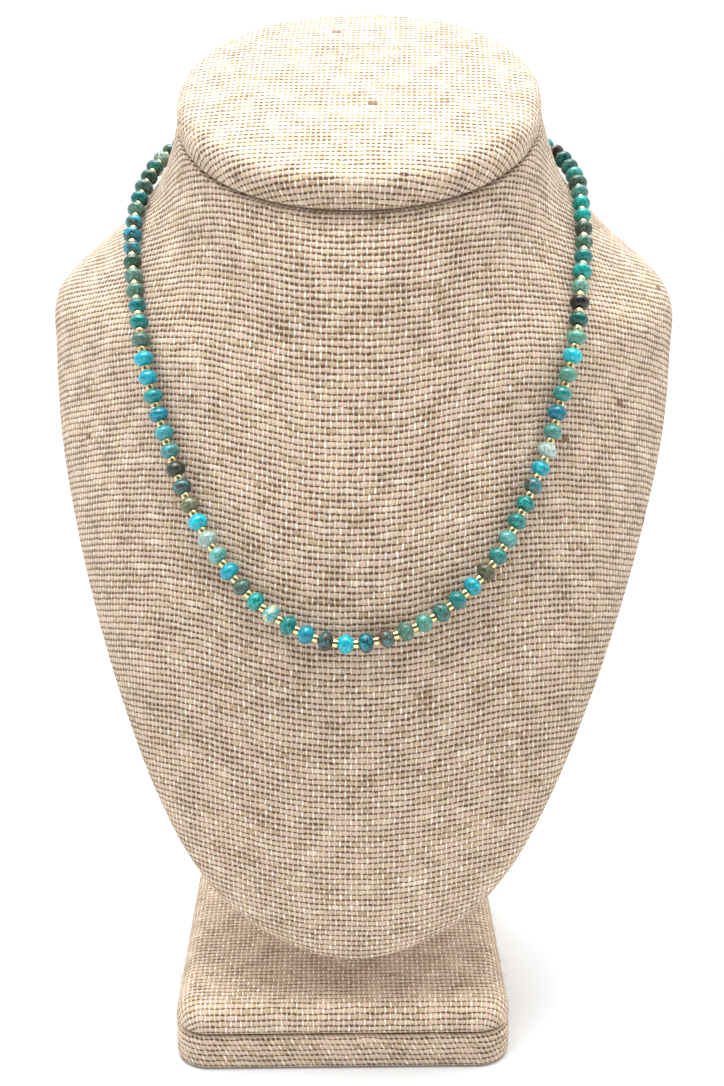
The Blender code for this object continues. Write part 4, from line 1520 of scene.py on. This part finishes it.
# %% [markdown]
# ## Light and floor
#
# The picture is a product shot on pure white: a wide soft light overhead, bright walls all round,
# and a darker room behind the camera. Lamps could stand for the walls, but a world that changes
# with direction lights the cloth more evenly. The gold and the stones mirror the dark room, which
# gives the metal its contrast. The camera itself sees plain white, and the floor is a pale disc
# that only takes a faint shadow.

# %% Light
SKY_TOP = 2.0
SKY_SIDE = 0.86
BACKDROP = 1.2
ROOM_BEHIND_CAMERA = 0.45
ROOM_WIDTH = (0.72, 0.92)
MIRRORED_ROOM = 0.06
MIRRORED_WIDTH = (0.35, 0.80)
SKY_RISE = (0.1, 0.95)
LIGHT_TARGET = Vector((0, 0, 0.12))
SOFTBOX_PLACE = (-0.05, 0.06, 1.05)
SOFTBOX_SIZE = (0.9, 0.7)
SOFTBOX_POWER = 18.0
SOFTBOX_COLOUR = (0.92, 0.97, 1.0)
FLOOR_RADIUS = 6.0
FLOOR_SIDES = 96
FLOOR_COLOUR = "d4d4d4"

world = bpy.data.worlds.new("white studio")
bpy.context.scene.world = world
world.use_nodes = True
sky = world.node_tree
background = sky.nodes["Background"]
heading = add(sky, "ShaderNodeTexCoord").outputs["Generated"]
axes = add(sky, "ShaderNodeSeparateXYZ", {0: heading})
rise = add(sky, RANGE, {"Value": axes.outputs["Z"], "From Min": SKY_RISE[0],
                        "From Max": SKY_RISE[1], "To Min": SKY_SIDE, "To Max": SKY_TOP})
camera_way = (Vector(CAMERA_PLACE) - LIGHT_TARGET).normalized()
facing = add(sky, VECTOR_MATH, {0: heading, 1: camera_way},
             operation="DOT_PRODUCT").outputs["Value"]
# shiny things mirror the dark room itself, and not the light that its walls throw back
room, mirrored = [add(sky, RANGE, {"Value": facing, "From Min": width[0], "From Max": width[1],
                                   "To Min": 1.0, "To Max": strength})
                  for width, strength in ((ROOM_WIDTH, ROOM_BEHIND_CAMERA),
                                          (MIRRORED_WIDTH, MIRRORED_ROOM))]
rays = add(sky, "ShaderNodeLightPath")
dimmed = add(sky, MIX, {0: rays.outputs["Is Glossy Ray"], 2: room, 3: mirrored},
             data_type="FLOAT")
glow = add(sky, MATH, {0: rise, 1: dimmed}, operation="MULTIPLY")
seen = add(sky, MIX, {0: rays.outputs["Is Camera Ray"], 2: glow, 3: BACKDROP},
           data_type="FLOAT")
fill(sky, background, {"Strength": seen, "Color": srgb("ffffff")})

panel_data = bpy.data.lights.new("overhead softbox", "AREA")
panel_data.shape = "RECTANGLE"
panel_data.size, panel_data.size_y = SOFTBOX_SIZE
panel_data.energy = SOFTBOX_POWER
panel_data.color = SOFTBOX_COLOUR
panel = put_in_scene("overhead softbox", panel_data)
panel.location = SOFTBOX_PLACE
panel.rotation_euler = (LIGHT_TARGET - panel.location).to_track_quat("-Z", "Y").to_euler()
bpy.context.scene.view_settings.view_transform = "Standard"

floor_mesh = bpy.data.meshes.new("floor")
disc_shape = bmesh.new()
bmesh.ops.create_circle(disc_shape, cap_ends=True, segments=FLOOR_SIDES, radius=FLOOR_RADIUS)
disc_shape.to_mesh(floor_mesh)
disc_shape.free()
paper, paper_tree, paper_shader = new_material("white paper")
fill(paper_tree, paper_shader, {"Base Color": srgb(FLOOR_COLOUR), "Roughness": 1.0})
floor_mesh.materials.append(paper)
floor = put_in_scene("floor", floor_mesh)
print("stage: floor and", panel.name)
